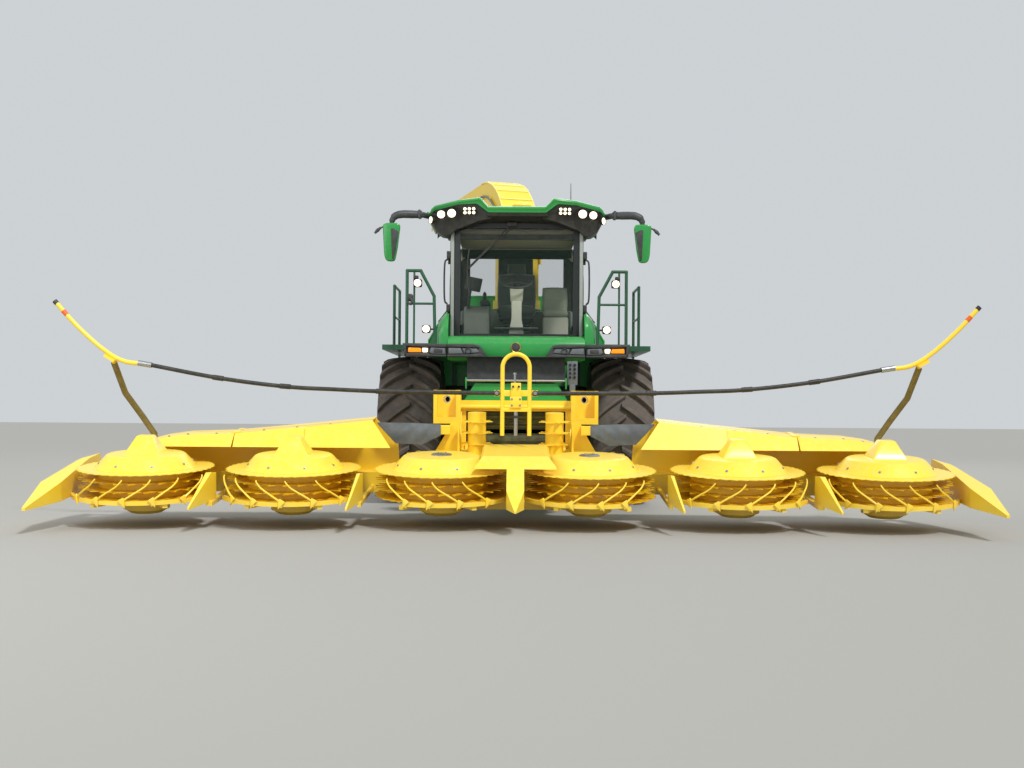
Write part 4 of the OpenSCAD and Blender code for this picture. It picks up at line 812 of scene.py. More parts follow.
# Door furniture: cast hinge covers, a long grab rail and the handle on each door.
for side, sx in SIDES:
    bm = bmesh.new()
    for z in (2.40, 3.04):
        add_across(bm, sx * 0.822, 0.022, (-1.135, z - 0.045), (-1.035, z + 0.045), 0.008)
        for dz in (-0.022, 0.022):
            add_screw(bm, Matrix.Translation((sx * 0.822, -1.135, z + dz)) @ LOOK, 0.006, 0)
    add_tube(bm, [(sx * 0.835, -1.10, 2.45), (sx * 0.868, -1.115, 2.52), (sx * 0.868, -1.115, 2.92),
                  (sx * 0.835, -1.10, 2.99)], 0.011, 0, 12, 5)
    piece(f"post_rail_{side}", bm, [moulded_black], "chassis", (), 40)
    bm = bmesh.new()
    add_across(bm, sx * 0.806, 0.012, (-0.06, 2.62), (0.03, 2.72), 0.006, 0)
    add_tube(bm, [(sx * 0.808, -0.10, 2.36), (sx * 0.845, -0.10, 2.42), (sx * 0.845, -0.10, 2.90),
                  (sx * 0.808, -0.10, 2.96)], 0.010, 0, 12, 5)
    piece(f"door_handle_{side}", bm, [moulded_black], f"door_{side}", (), 40)

# Cab doors: a black frame with rounded corners, a rubber seal and a full-height pane.
DOOR_LOW, DOOR_HIGH = (-1.004, 2.036), (0.084, 3.224)
DOOR_BAR = 0.060
for side, sx in SIDES:
    bm = bmesh.new()
    (y0, z0), (y1, z1) = DOOR_LOW, DOOR_HIGH
    for low, high in (((y0, z0), (y1, z0 + DOOR_BAR)), ((y0, z1 - DOOR_BAR), (y1, z1)),
                      ((y0, z0 + 0.05), (y0 + DOOR_BAR, z1 - 0.05)),
                      ((y1 - DOOR_BAR, z0 + 0.05), (y1, z1 - 0.05))):
        add_across(bm, sx * 0.770, 0.030, low, high, 0.006, 0)
        seal_low, seal_high = (low[0] + 0.030, low[1] + 0.030), (high[0] + 0.012, high[1])
        add_across(bm, sx * 0.778, 0.010, seal_low, seal_high, 0.004, 1)
    # corner gussets
    for y, z, sy, sz in ((y0 + DOOR_BAR, z0 + DOOR_BAR, 1, 1), (y1 - DOOR_BAR, z0 + DOOR_BAR, -1, 1),
                         (y0 + DOOR_BAR, z1 - DOOR_BAR, 1, -1), (y1 - DOOR_BAR, z1 - DOOR_BAR, -1, -1)):
        corner = [(y - sy * 0.01, z - sz * 0.01), (y + sy * 0.09, z - sz * 0.01),
                  (y + sy * 0.045, z + sz * 0.012), (y + sy * 0.012, z + sz * 0.045),
                  (y - sy * 0.01, z + sz * 0.09)]
        add_side(bm, corner[::sy * sz], sx * 0.776 - 0.018, sx * 0.776 + 0.018, 0.003, 0)
    for z in (2.360, 3.000):
        barrel = Matrix.Translation((sx * 0.818, -1.007, z - 0.029))
        add_lathe(bm, [(0.0, 0.0), (0.016, 0.0), (0.016, 0.058), (0.0, 0.058)], barrel, 24, 0)
        add_across(bm, sx * 0.808, 0.010, (-1.006, z - 0.029), (-0.970, z + 0.029), 0.003, 0)
    piece(f"cab_door_{side}_frame", bm, [black_enamel, rubber_sheet], f"door_{side}",
          (f"cab_door_{side}",), 35)
    bm = bmesh.new()
    add_across(bm, sx * 0.776, 0.004, (y0 + 0.055, z0 + 0.055), (y1 - 0.055, z1 - 0.055), 0.001, 0)
    piece(f"cab_door_{side}_pane", bm, [cab_glass], f"door_{side}", (), 35)

# Interior: moulded consoles, a beige headliner and two seats.
headliner = dark_coat("beige_headliner", "#b9ae98", "#cfc5b0", 0.4, 0.85, 220.0, 0.002)
console_grey = dark_coat("console_plastic_grey", "#737a70", "#9a9e8e", 0.35, 0.5, 320.0, 0.001)
column_grey = dark_coat("column_plastic_light", "#b7baa6", "#d0ceb9", 0.3, 0.5, 320.0, 0.001)
CAB_FLOOR = 2.012
screen_glass, _ = new_material("terminal_screen_glass", Base_Color=linear("#0d1413"), Roughness=0.08, IOR=1.5)

bm = bmesh.new()
add_block(bm, (-0.735, -1.03, 3.30), (0.735, 0.44, 3.375), 0.03, 0)
add_front(bm, [(-0.735, 3.30), (-0.735, 3.12), (-0.66, 3.20), (-0.60, 3.27), (0.60, 3.27), (0.66, 3.20),
               (0.735, 3.12), (0.735, 3.30)], 0.30, 0.44, 0.02, 0)
add_block(bm, (-0.30, -0.98, 3.25), (0.30, -0.70, 3.31), 0.02, 0)
add_block(bm, (-0.735, 0.30, 2.02), (0.735, 0.44, 2.48), 0.03, 1)
piece("cab_lining", bm, [headliner, console_grey], "chassis", (), 40)

bm = bmesh.new()
# steering column: foot, sleeve, cowl and wheel
add_front(bm, [(-0.10, CAB_FLOOR), (0.10, CAB_FLOOR), (0.085, 2.16), (0.062, 2.30), (0.066, 2.52),
               (-0.066, 2.52), (-0.062, 2.30), (-0.085, 2.16)], -0.90, -0.76, 0.018, 0)
add_front(bm, [(-0.075, 2.50), (0.075, 2.50), (0.085, 2.68), (-0.085, 2.68)], -0.90, -0.74, 0.02, 0)
add_block(bm, (-0.26, -0.95, 2.16), (0.26, -0.89, 2.185), 0.008, 1)
wheel = Matrix.Translation((0, -0.77, 2.66)) @ Matrix.Rotation(math.radians(30), 4, "X")
rim = [wheel @ Vector((0.185 * math.cos(a), 0.185 * math.sin(a), 0.105)) for a in
       [2 * math.pi * k / 32 for k in range(33)]]
add_tube(bm, rim, 0.014, 1, 12, 0)
add_lathe(bm, [(0.0, 0.03), (0.035, 0.03), (0.045, 0.085), (0.050, 0.105), (0.0, 0.118)], wheel, 24, 1)
for a in (90, 210, 330):
    turn = wheel @ Matrix.Rotation(math.radians(a), 4, "Z")
    add_block(bm, (0.03, -0.014, 0.098), (0.18, 0.014, 0.110), 0.005, 1, turn)
# right-hand console with armrest, keypad and the terminal on its stalk
add_side(bm, [(-0.60, CAB_FLOOR), (0.06, CAB_FLOOR), (0.06, 2.44), (-0.20, 2.50), (-0.52, 2.47),
              (-0.60, 2.36)], -0.655, -0.335, 0.025, 2)
add_block(bm, (-0.46, -0.50, 2.48), (-0.335, 0.02, 2.55), 0.025, 1)
add_lathe(bm, [(0.0, 0.0), (0.028, 0.0), (0.020, 0.05), (0.024, 0.09), (0.0, 0.12)],
          Matrix.Translation((-0.40, -0.47, 2.54)), 16, 1)
add_tube(bm, [(-0.60, -0.56, 2.44), (-0.585, -0.575, 2.60), (-0.57, -0.575, 2.70)], 0.018, 1, 10, 4)
tilt = (Matrix.Translation((-0.54, -0.575, 2.74))
        @ Matrix.Rotation(math.radians(-18), 4, "Z") @ Matrix.Rotation(math.radians(12), 4, "Y"))
add_block(bm, (-0.105, -0.02, -0.085), (0.105, 0.02, 0.085), 0.010, 1, tilt)
add_block(bm, (-0.092, 0.018, -0.070), (0.092, 0.024, 0.070), 0.002, 3, tilt)
piece("cab_controls", bm, [column_grey, moulded_black, console_grey, screen_glass], "chassis",
      ("steering_console",), 40)

# Seats: moulded foam cushions, the driver's in woven grey cloth on an air suspension box
# and the helper's in sage green vinyl. They are crowned, with sewn channels across them.
seat_cloth, seat_shader = new_material("woven_seat_cloth", Roughness=0.9, IOR=1.45, Sheen_Weight=0.3,
                                       Sheen_Roughness=0.5)
cloth_place = node(seat_cloth, "ShaderNodeTexCoord").outputs["Object"]
# the 2 mm weave is drawn 6 mm wide so that it shows
weave_a = node(seat_cloth, "ShaderNodeTexWave", {"bands_direction": "X"}, Vector=cloth_place, Scale=52.0,
               Distortion=1.0)
weave_b = node(seat_cloth, "ShaderNodeTexWave", {"bands_direction": "Z"}, Vector=cloth_place, Scale=52.0,
               Distortion=1.0)
weave = node(seat_cloth, "ShaderNodeMath", {"operation": "MULTIPLY"}, i0=weave_a.outputs[1],
             i1=weave_b.outputs[1])
cloth_wear = node(seat_cloth, "ShaderNodeTexNoise", None, Vector=cloth_place, Scale=6.0, Detail=5.0)
cloth_dark = node(seat_cloth, "ShaderNodeMix", {"data_type": "RGBA"},
                  i0=cloth_wear.outputs[0], i6=linear("#34383a"), i7=linear("#51564f"))
cloth_colour = node(seat_cloth, "ShaderNodeMix", {"data_type": "RGBA"},
                    i0=weave.outputs[0], i6=cloth_dark.outputs[2], i7=linear("#6c7168"))
cloth_bump = node(seat_cloth, "ShaderNodeBump", None, Height=weave.outputs[0], Strength=0.3, Distance=0.002)
link(seat_shader, Base_Color=cloth_colour.outputs[2], Normal=cloth_bump.outputs[0])


# Cushion between two corners: crowned on its face, pulled in at its corners, with sewn
# channels across it. The face looks along the local +Z.
def add_cushion(bm, size, place, channels):
    count, crown = 22, 0.022
    half_x, half_y, depth = size[0] / 2, size[1] / 2, size[2]
    grids = []
    for up in (1, -1):
        grid = []
        for j in range(count + 1):
            row = []
            for i in range(count + 1):
                u, v = 2 * i / count - 1, 2 * j / count - 1
                edge = max(abs(u), abs(v))
                pull = 1 - 0.05 * (abs(u) * abs(v)) ** 2
                x, y = u * half_x * pull, v * half_y * pull
                rise = crown * (1 - u * u) * (1 - v * v) if up > 0 else 0.0
                # distance to the nearest sewn channel, in parts of the cushion's length
                channel = min([abs((v + 1) / 2 * channels - k) / channels for k in range(1, channels)] or [1])
                groove = 0.010 * math.exp(-(channel / 0.035) ** 2) * (1 - edge ** 6) if up > 0 else 0.0
                round_off = 0.5 * depth * max(edge - 0.86, 0) / 0.14
                z = up * (depth / 2 - round_off) + rise - groove
                row.append(bm.verts.new(place @ Vector((x, y, z))) if up > 0 or edge < 0.999
                           else grids[0][j][i])
            grid.append(row)
        grids.append(grid)
        for j in range(count):
            for i in range(count):
                corners = [grid[j][i], grid[j][i + 1], grid[j + 1][i + 1], grid[j + 1][i]]
                if len(set(corners)) > 2:
                    bm.faces.new(corners[::up])


BACKREST = Matrix.Rotation(math.radians(84), 4, "X")
bm = bmesh.new()
add_cushion(bm, (0.50, 0.48, 0.13), Matrix.Translation((0, -0.12, 2.43)), 3)
add_cushion(bm, (0.50, 0.50, 0.12), Matrix.Translation((0, 0.175, 2.70)) @ BACKREST, 4)
add_cushion(bm, (0.24, 0.14, 0.09), Matrix.Translation((0, 0.205, 3.01)) @ BACKREST, 1)
driver_cushions = piece("driver_seat_cushions", bm, [seat_cloth], "chassis", ("seats",), 60)
bm = bmesh.new()
add_cushion(bm, (0.33, 0.38, 0.09), Matrix.Translation((0.495, -0.13, 2.40)), 2)
add_cushion(bm, (0.33, 0.34, 0.07), Matrix.Translation((0.495, 0.085, 2.60)) @ BACKREST, 2)
sage_vinyl = dark_coat("sage_green_vinyl", "#99a08c", "#b4b6a2", 0.35, 0.55, 260.0, 0.001)
helper_cushions = piece("helper_seat_cushions", bm, [sage_vinyl], "chassis", (), 60)

bm = bmesh.new()
add_block(bm, (-0.20, -0.32, CAB_FLOOR), (0.20, 0.10, 2.10), 0.015, 0)
for k in range(5):
    add_block(bm, (-0.17, -0.29, 2.10 + 0.045 * k), (0.17, 0.07, 2.135 + 0.045 * k), 0.014, 0)
add_block(bm, (-0.22, -0.34, 2.32), (0.22, 0.12, 2.37), 0.012, 0)
add_block(bm, (-0.19, 0.225, 2.42), (0.19, 0.275, 2.90), 0.02, 0)
add_tube(bm, [(0, 0.235, 2.87), (0, 0.245, 2.96), (0, 0.24, 3.02)], 0.012, 0, 10, 4)
# dark housing in the middle of the rear wall, between the two rear panes
add_block(bm, (-0.245, 0.44, 2.30), (0.215, 0.485, 3.18), 0.02, 0)
# moulded box under the helper's seat
add_block(bm, (0.335, -0.325, CAB_FLOOR), (0.655, 0.05, 2.352), 0.02, 1)
add_block(bm, (0.335, 0.125, 2.36), (0.655, 0.165, 2.76), 0.015, 1)
piece("seat_bases", bm, [moulded_black, column_grey], "chassis", (), 40)


# Cowl under the windscreen: a pressed green bonnet with a ledge and a rounded nose, two
# round-topped side covers, and the floor box behind them. Its round badge place is blank.
def cowl_row(y, z, pull):
    return [(x, y + pull * max(abs(x) - 0.45, 0.0) ** 1.5, z) for x in [-0.81 + 0.054 * i for i in range(31)]]


bm = bmesh.new()
NOSE = [(-1.40, 1.765, 0.10), (-1.418, 1.80, 0.10), (-1.422, 1.90, 0.10), (-1.419, 1.958, 0.10),
        (-1.408, 1.985, 0.10), (-1.392, 1.998, 0.10), (-1.388, 2.006, 0.10), (-1.384, 2.010, 0.10),
        (-1.372, 2.034, 0.12), (-1.350, 2.048, 0.14), (-1.300, 2.056, 0.16), (-1.200, 2.062, 0.16),
        (-1.118, 2.064, 0.12), (-1.118, 1.98, 0.0)]
add_sheet_grid(bm, [cowl_row(y, z, pull) for y, z, pull in NOSE])
add_block(bm, (-0.79, -1.14, 1.765), (0.79, 0.55, 1.962), 0.008)
for sx in (1, -1):
    # side cover beside the windscreen with its sloping rounded top
    rows = []
    for y, low, top, out in ((-1.362, 1.90, 2.13, 0.905), (-1.350, 1.90, 2.19, 0.930),
                             (-1.300, 1.90, 2.25, 0.940), (-1.220, 1.90, 2.31, 0.940),
                             (-1.110, 1.90, 2.335, 0.940), (-1.055, 1.90, 2.33, 0.938)):
        rows.append([(sx * 0.806, y, top), (sx * 0.835, y, top + 0.004), (sx * 0.865, y, top - 0.014),
                     (sx * (out - 0.035), y, top - 0.06), (sx * (out - 0.010), y, top - 0.11),
                     (sx * out, y, top - 0.17), (sx * out, y, low)])
    add_sheet_grid(bm, rows)
    add_sheet_grid(bm, [[(sx * 0.806, -1.362, 1.90)] * 7, rows[0]])
    add_sheet_grid(bm, [rows[-1], [(sx * 0.806, -1.055, 1.90)] * 7])
    add_across(bm, sx * 0.86, 0.08, (-1.36, 1.90), (-1.14, 1.965), 0.008)
bmesh.ops.remove_doubles(bm, verts=bm.verts, dist=0.0005)
piece("cowl_panels", bm, [green_enamel], "chassis", ("cowl",), 30)

# Blank badge place: a dark domed disc in a thin gold-coloured ring.
gold_ring, _ = new_material("gold_anodised_ring", Base_Color=linear("#c9a24a"), Metallic=1.0, Roughness=0.35)
bm = bmesh.new()
at_badge = Matrix.Translation((-0.006, -1.424, 1.915)) @ LOOK
add_lathe(bm, [(0.0, 0.0), (0.052, 0.0), (0.052, 0.008), (0.030, 0.013), (0.0, 0.015)], at_badge, 48, 0)
add_lathe(bm, [(0.051, 0.0), (0.060, 0.0), (0.060, 0.009), (0.056, 0.012), (0.051, 0.009)], at_badge, 48, 1)
piece("blank_badge", bm, [moulded_black, gold_ring], "chassis", (), 35)

# Lamp bar: two black moulded housings on each side. The outer one holds the orange turn
# lamp and a clear position lamp behind one window, the inner one a small round lamp.
orange_lens, orange_shader = new_material("orange_lamp_lens", Roughness=0.15, IOR=1.49, Emission_Strength=0.5,
                                          Emission_Color=linear("#ff9a1e"))
orange_ribs = node(orange_lens, "ShaderNodeTexWave", {"bands_direction": "X"},
                   Vector=node(orange_lens, "ShaderNodeTexCoord").outputs["Object"], Scale=22.0)
orange_tone = node(orange_lens, "ShaderNodeMix", {"data_type": "RGBA"},
                   i0=orange_ribs.outputs[1], i6=linear("#ff9510"), i7=linear("#d97608"))
link(orange_shader, Base_Color=orange_tone.outputs[2])
grey_facet = dark_coat("satin_grey_plastic", "#5f666d", "#8b8a80", 0.25, 0.32, 380.0, 0.0006)

# Each row: the outline in X and Z, the depth of its front and back behind the bar's face,
# the rounding, and the material's number in the piece.
BAR_Y, BAR_DEPTH = -1.595, 0.174
BAR_PARTS = [
    # outer housing: back box, upper and lower frame, and the frame's outer end
    ([(0.815, 1.797), (1.305, 1.797), (1.308, 1.93), (1.30, 1.945), (0.815, 1.945)], 0.035, BAR_DEPTH,
     0.01, 0),
    ([(0.815, 1.905), (1.308, 1.918), (1.300, 1.948), (0.815, 1.948)], 0.0, 0.05, 0.008, 0),
    ([(0.815, 1.797), (1.300, 1.797), (1.308, 1.835), (1.06, 1.838), (0.99, 1.822), (0.815, 1.818)],
     0.0, 0.05, 0.008, 0),
    ([(1.275, 1.80), (1.305, 1.80), (1.308, 1.945), (1.285, 1.945)], 0.0, 0.05, 0.008, 0),
    # sculpted satin facet towards the middle, with its dark inlay
    ([(0.83, 1.828), (0.985, 1.832), (1.010, 1.850), (0.995, 1.905), (0.83, 1.896)], 0.010, 0.05, 0.006, 3),
    ([(0.86, 1.842), (0.965, 1.845), (0.955, 1.893), (0.86, 1.885)], 0.002, 0.02, 0.006, 0),
    # orange turn lamp and clear position lamp
    ([(1.105, 1.848), (1.262, 1.848), (1.258, 1.902), (1.115, 1.898)], 0.012, 0.05, 0.008, 2),
    ([(1.035, 1.850), (1.090, 1.848), (1.098, 1.898), (1.030, 1.896)], 0.012, 0.05, 0.008, 1),
    # inner housing, chamfered towards the cowl's nose, with two satin facets
    ([(0.335, 1.797), (0.805, 1.797), (0.805, 1.945), (0.50, 1.945), (0.425, 1.935)], 0.035, BAR_DEPTH,
     0.012, 0),
    ([(0.425, 1.905), (0.805, 1.912), (0.805, 1.947), (0.50, 1.947)], 0.005, 0.05, 0.008, 0),
    ([(0.340, 1.797), (0.805, 1.797), (0.805, 1.822), (0.56, 1.826), (0.43, 1.838)], 0.005, 0.05, 0.008, 0),
    ([(0.62, 1.835), (0.79, 1.830), (0.79, 1.902), (0.65, 1.898)], 0.012, 0.05, 0.008, 3),
    ([(0.43, 1.850), (0.60, 1.836), (0.63, 1.898), (0.46, 1.900)], 0.020, 0.05, 0.008, 3),
]
bm = bmesh.new()
for sx in (1, -1):
    for outline, front, back, width, index in BAR_PARTS:
        add_front(bm, on_side(sx, outline), BAR_Y + front, BAR_Y + back, width, index)
    lamp_at = Matrix.Translation((sx * 0.560, BAR_Y + 0.012, 1.866)) @ LOOK
    add_lathe(bm, [(0.0, -0.01), (0.036, -0.01), (0.038, 0.006), (0.032, 0.010), (0.030, 0.004)], lamp_at,
              32, 0)
    add_lathe(bm, [(0.030, 0.003), (0.018, 0.007), (0.0, 0.009)], lamp_at, 32, 4)
# strip under the nose
add_block(bm, (-0.345, -1.58, 1.797), (0.345, BAR_Y + BAR_DEPTH, 1.808), 0.003)
piece("lamp_bar_housings", bm, [moulded_black, lamp_lens, orange_lens, grey_facet, cab_glass], "chassis",
      ("lamp_bar",), 35)

# Rubber apron under the lamp bar: a hanging sheet, slightly waved.
bm = bmesh.new()
rows = []
for y, z in ((-1.441, 1.80), (-1.441, 1.72), (-1.446, 1.66), (-1.443, 1.60), (-1.448, 1.53)):
    across = [-0.575 + 0.0575 * i for i in range(21)]
    rows.append([(x, y - 0.004 * math.sin(x * 11.0 + z * 20.0), z) for x in across])
add_sheet_grid(bm, rows)
add_sheet_grid(bm, [[(x, y + 0.010, z) for x, y, z in row] for row in rows[::-1]])
add_sheet_grid(bm, [rows[-1], [(x, y + 0.010, z) for x, y, z in rows[-1]]])
bmesh.ops.remove_doubles(bm, verts=bm.verts, dist=0.0003)
piece("rubber_apron", bm, [rubber_sheet], "chassis", (), 40)

# Mirrors: green moulded shells with a dark band, on thick folding arms of grey plastic,
# with a short dark width marker on their outer side.
arm_grey = dark_coat("arm_plastic_grey", "#33383d", "#7d7c74", 0.25, 0.45, 350.0, 0.001)
mirror_glass, _ = new_material("silvered_mirror_glass", Base_Color=linear("#c9d0d4"), Metallic=1.0,
                               Roughness=0.03)
ARM = [(1.15, -1.14, 3.520), (1.25, -1.18, 3.516), (1.38, -1.21, 3.512), (1.455, -1.22, 3.490),
       (1.492, -1.22, 3.440), (1.500, -1.22, 3.385)]
SHELL = [(1.398, 3.34), (1.425, 3.10), (1.452, 2.965), (1.475, 2.945), (1.540, 2.945), (1.568, 2.965),
         (1.585, 3.03), (1.603, 3.35), (1.600, 3.385), (1.56, 3.402), (1.43, 3.402), (1.398, 3.385)]
BAND = [(1.440, 3.09), (1.466, 2.965), (1.488, 2.97), (1.505, 3.335), (1.470, 3.335), (1.412, 3.30)]
GLASS = [(1.47, 2.99), (1.565, 2.99), (1.585, 3.37), (1.42, 3.37)]
for side, sx in SIDES:
    bm = bmesh.new()
    add_across(bm, sx * 1.085, 0.025, (-1.05, 3.495), (-0.96, 3.555), 0.010, 0)
    add_tube(bm, [(sx * 1.08, -1.02, 3.522), (sx * 1.13, -1.10, 3.522), (sx * 1.17, -1.15, 3.520)], 0.036,
             0, 14, 4)
    add_tube(bm, [(sx * x, y, z) for x, y, z in ARM], [0.046, 0.048, 0.047, 0.044, 0.036, 0.028], 0, 12, 5)
    add_across(bm, sx * 1.17, 0.018, (-1.215, 3.468), (-1.105, 3.572), 0.012, 0)
    # shell, tapered towards its foot, with the band in front and the glass behind
    add_front(bm, on_side(sx, SHELL), -1.262, -1.185, 0.018, 1, steps=3)
    add_front(bm, on_side(sx, BAND), -1.268, -1.250, 0.006, 2)
    add_front(bm, on_side(sx, GLASS), -1.186, -1.180, 0.002, 3)
    # width marker
    add_tube(bm, [(sx * 1.598, -1.225, 3.36), (sx * 1.645, -1.228, 3.335), (sx * 1.700, -1.230, 3.280)],
             [0.010, 0.016, 0.022, 0.016], 0, 10, 4)
    piece(f"mirror_{side}", bm, [arm_grey, green_enamel, moulded_black, mirror_glass], "chassis",
          ("mirrors",) if sx > 0 else (), 35)

# Handrail lamps: small round working lamps in black housings clamped to the rails.
bm = bmesh.new()
for sx in (1, -1):
    for x, y, z, tilt in ((1.166, -1.446, 2.668, 4), (1.062, -1.446, 2.128, 10)):
        add_block(bm, (sx * x - 0.050, y, z - 0.046), (sx * x + 0.050, -1.372, z + 0.046), 0.016, 1)
        turn = Matrix.Rotation(math.radians(tilt), 4, "X")
        add_lamp(bm, Matrix.Translation((sx * x, y - 0.012, z)) @ turn @ LOOK, 0.043, depth=0.03)
    add_tube(bm, [(sx * 0.964, -1.385, 2.128), (sx * 1.030, -1.385, 2.128)], 0.011, 1, 10, 0)
    add_across(bm, sx * 1.190, 0.028, (-1.412, 2.720), (-1.352, 2.760), 0.008, 1)
# cable box with its short loop on the right-hand rail
add_block(bm, (-1.300, -1.405, 2.455), (-1.225, -1.345, 2.545), 0.020, 1)
add_tube(bm, [(-1.262, -1.40, 2.50), (-1.235, -1.415, 2.47), (-1.245, -1.41, 2.42),
              (-1.285, -1.40, 2.44)], 0.014, 1, 10, 5)
piece("handrail_lamps", bm, [lamp_lens, moulded_black], "chassis", (), 38)


# Crop tines: bent steel rods in front of each rotor, leaning with its turn, each on a
# forged arrowhead shoe bolted under the guard bar. Each row gives the rotor's place, the
# body that carries its bar, the tines' angles round it in degrees, and their lean.
TINES = [(0.75, "feeder", (229, 253, 276, 295), 1), (2.25, "wing", (222, 246, 270, 292, 314), 1),
         (3.75, "wing", (226, 250, 272, 294, 318), -1)]
SHOE = [(-0.030, -0.048), (0.042, 0.024), (0.030, 0.036), (0.012, 0.046), (-0.014, 0.060), (-0.022, 0.040)]
for side, sx in SIDES:
    for k, (x, carrier, angles, lean) in enumerate(TINES, 1):
        bm = bmesh.new()
        for angle in angles:
            a = math.radians(angle)
            b = a + math.radians(20 * lean)
            line = []
            for radius, turn, z in ((0.730, 0.0, -0.030), (0.731, 0.02, 0.020), (0.726, 0.35, 0.080),
                                    (0.718, 0.8, 0.150), (0.712, 1.0, 0.200), (0.702, 1.06, 0.222)):
                t = a + (b - a) * turn
                line.append(HEADER @ Vector((sx * (x + radius * math.cos(t)), radius * math.sin(t), z)))
            add_tube(bm, line, [0.011, 0.010, 0.009, 0.008, 0.007], 1, 10, 4)
            place = (HEADER @ Matrix.Diagonal((sx, 1, 1, 1)) @ Matrix.Translation((x, 0, 0))
                     @ Matrix.Rotation(a, 4, "Z") @ Matrix.Translation((0.737, 0, 0))
                     @ Matrix.Rotation(math.pi / 2, 4, "Z") @ LOOK)
            add_rounded(bm, [(px * -lean, py) for px, py in SHOE][::-lean], -0.006, 0.010, 0.004, place, 1)
            under = place @ Matrix.Translation((0, 0.012, -0.006)) @ Matrix.Rotation(math.pi, 4, "X")
            add_screw(bm, under, 0.008, 0)
        body = "feeder" if carrier == "feeder" else f"wing_{side}"
        piece(f"crop_tines_{side}_{k}", bm, [zinc, yellow_enamel], body, (), 35)

# Canvas over each fold: coated grey-blue cloth that hangs from the centre frame to the
# wing's cover.
canvas_cloth, canvas_shader = new_material("coated_canvas", Roughness=0.75, Sheen_Weight=0.2)
canvas_place = node(canvas_cloth, "ShaderNodeTexCoord").outputs["Object"]
canvas_patch = node(canvas_cloth, "ShaderNodeTexNoise", None, Vector=canvas_place, Scale=11.0, Detail=8.0)
canvas_tone = node(canvas_cloth, "ShaderNodeMix", {"data_type": "RGBA"},
                   i0=canvas_patch.outputs[0], i6=linear("#4a5563"), i7=linear("#7d858a"))
canvas_weave = node(canvas_cloth, "ShaderNodeTexWave", {"bands_direction": "DIAGONAL"},
                    Vector=canvas_place, Scale=260.0)
canvas_bump = node(canvas_cloth, "ShaderNodeBump", None,
                   Height=canvas_weave.outputs[1], Strength=0.25, Distance=0.001)
link(canvas_shader, Base_Color=canvas_tone.outputs[2], Normal=canvas_bump.outputs[0])


# Height of a bent line at x.
def along(points, x):
    for (x0, z0), (x1, z1) in zip(points, points[1:]):
        if x <= x1:
            return z0 + (z1 - z0) * (x - x0) / (x1 - x0)
    return points[-1][1]


# upper and lower edge of the left canvas in the header's X and Z
CANVAS_TOP = [(0.80, 0.640), (1.10, 0.652), (1.478, 0.656)]
CANVAS_LOW = [(0.80, 0.520), (1.00, 0.420), (1.285, 0.432), (1.478, 0.640)]
CANVAS_X, CANVAS_W, CANVAS_COLUMNS, CANVAS_ROWS = 0.80, 0.678, 28, 10
for side, sx in SIDES:
    bm = bmesh.new()
    rows = []
    for j in range(CANVAS_ROWS + 1):
        row = []
        for i in range(CANVAS_COLUMNS + 1):
            x = CANVAS_X + CANVAS_W * i / CANVAS_COLUMNS
            low, top = along(CANVAS_LOW, x), along(CANVAS_TOP, x)
            z = low + (top - low) * j / CANVAS_ROWS
            slack = (math.sin(math.pi * min(i / CANVAS_COLUMNS * 1.4, 1.0))
                     * math.sin(math.pi * j / CANVAS_ROWS))
            y = 0.705 + 0.010 * slack * math.sin(x * 38.0 + j * 0.7) - 0.012 * slack
            row.append(HEADER @ Vector((sx * x, y, z - 0.012 * slack)))
        rows.append(row)
    add_sheet_grid(bm, rows)
    cloth = piece(f"canvas_{side}_cloth", bm, [canvas_cloth], None, (f"canvas_{side}",), 60)
    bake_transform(cloth)

# Hoop on the carrier frame: bent tube with the lift valve's block, plated rods, and the
# brackets that carry the crop pipes.
bm = bmesh.new()
HOOP_Y, HOOP_R, HOOP_FOOT = -3.15, 0.141, 0.92
PIVOT_Z = 1.362
legs = [(HOOP_R, HOOP_Y, HOOP_FOOT), (HOOP_R, HOOP_Y, 1.20), (HOOP_R, HOOP_Y, 1.45)]
arc = [(HOOP_R * math.cos(math.radians(a)), HOOP_Y, 1.63 + HOOP_R * math.sin(math.radians(a)))
       for a in range(0, 181, 10)]
add_tube(bm, legs + arc + [(-x, y, z) for x, y, z in legs[::-1]], 0.022, 0, 20, 2)
add_block(bm, (-0.146, HOOP_Y - 0.022, 1.170), (0.146, HOOP_Y + 0.022, 1.210), 0.004)
add_block(bm, (-0.060, HOOP_Y - 0.045, 1.210), (0.060, HOOP_Y + 0.045, 1.330), 0.006)
add_block(bm, (-0.052, HOOP_Y - 0.040, 1.330), (0.052, HOOP_Y + 0.040, 1.470), 0.006)
add_block(bm, (-0.130, HOOP_Y - 0.014, 1.330), (0.130, HOOP_Y + 0.014, 1.394), 0.004)
add_block(bm, (-0.030, HOOP_Y + 0.044, 1.246), (0.030, -2.160, 1.290), 0.006)
add_tube(bm, [(0, HOOP_Y, HOOP_FOOT), (0, HOOP_Y, 1.172)], 0.019, 1, 20, 0)
add_tube(bm, [(-0.012, HOOP_Y, 1.465), (-0.012, HOOP_Y, 1.56)], 0.011, 1, 16, 0)
add_tube(bm, [(-0.012, HOOP_Y, 1.556), (-0.012, HOOP_Y, 1.576)], 0.017, 1, 16, 0)
add_tube(bm, [(0, HOOP_Y, 1.100), (0, HOOP_Y, 1.130)], 0.026, 2, 20, 0)
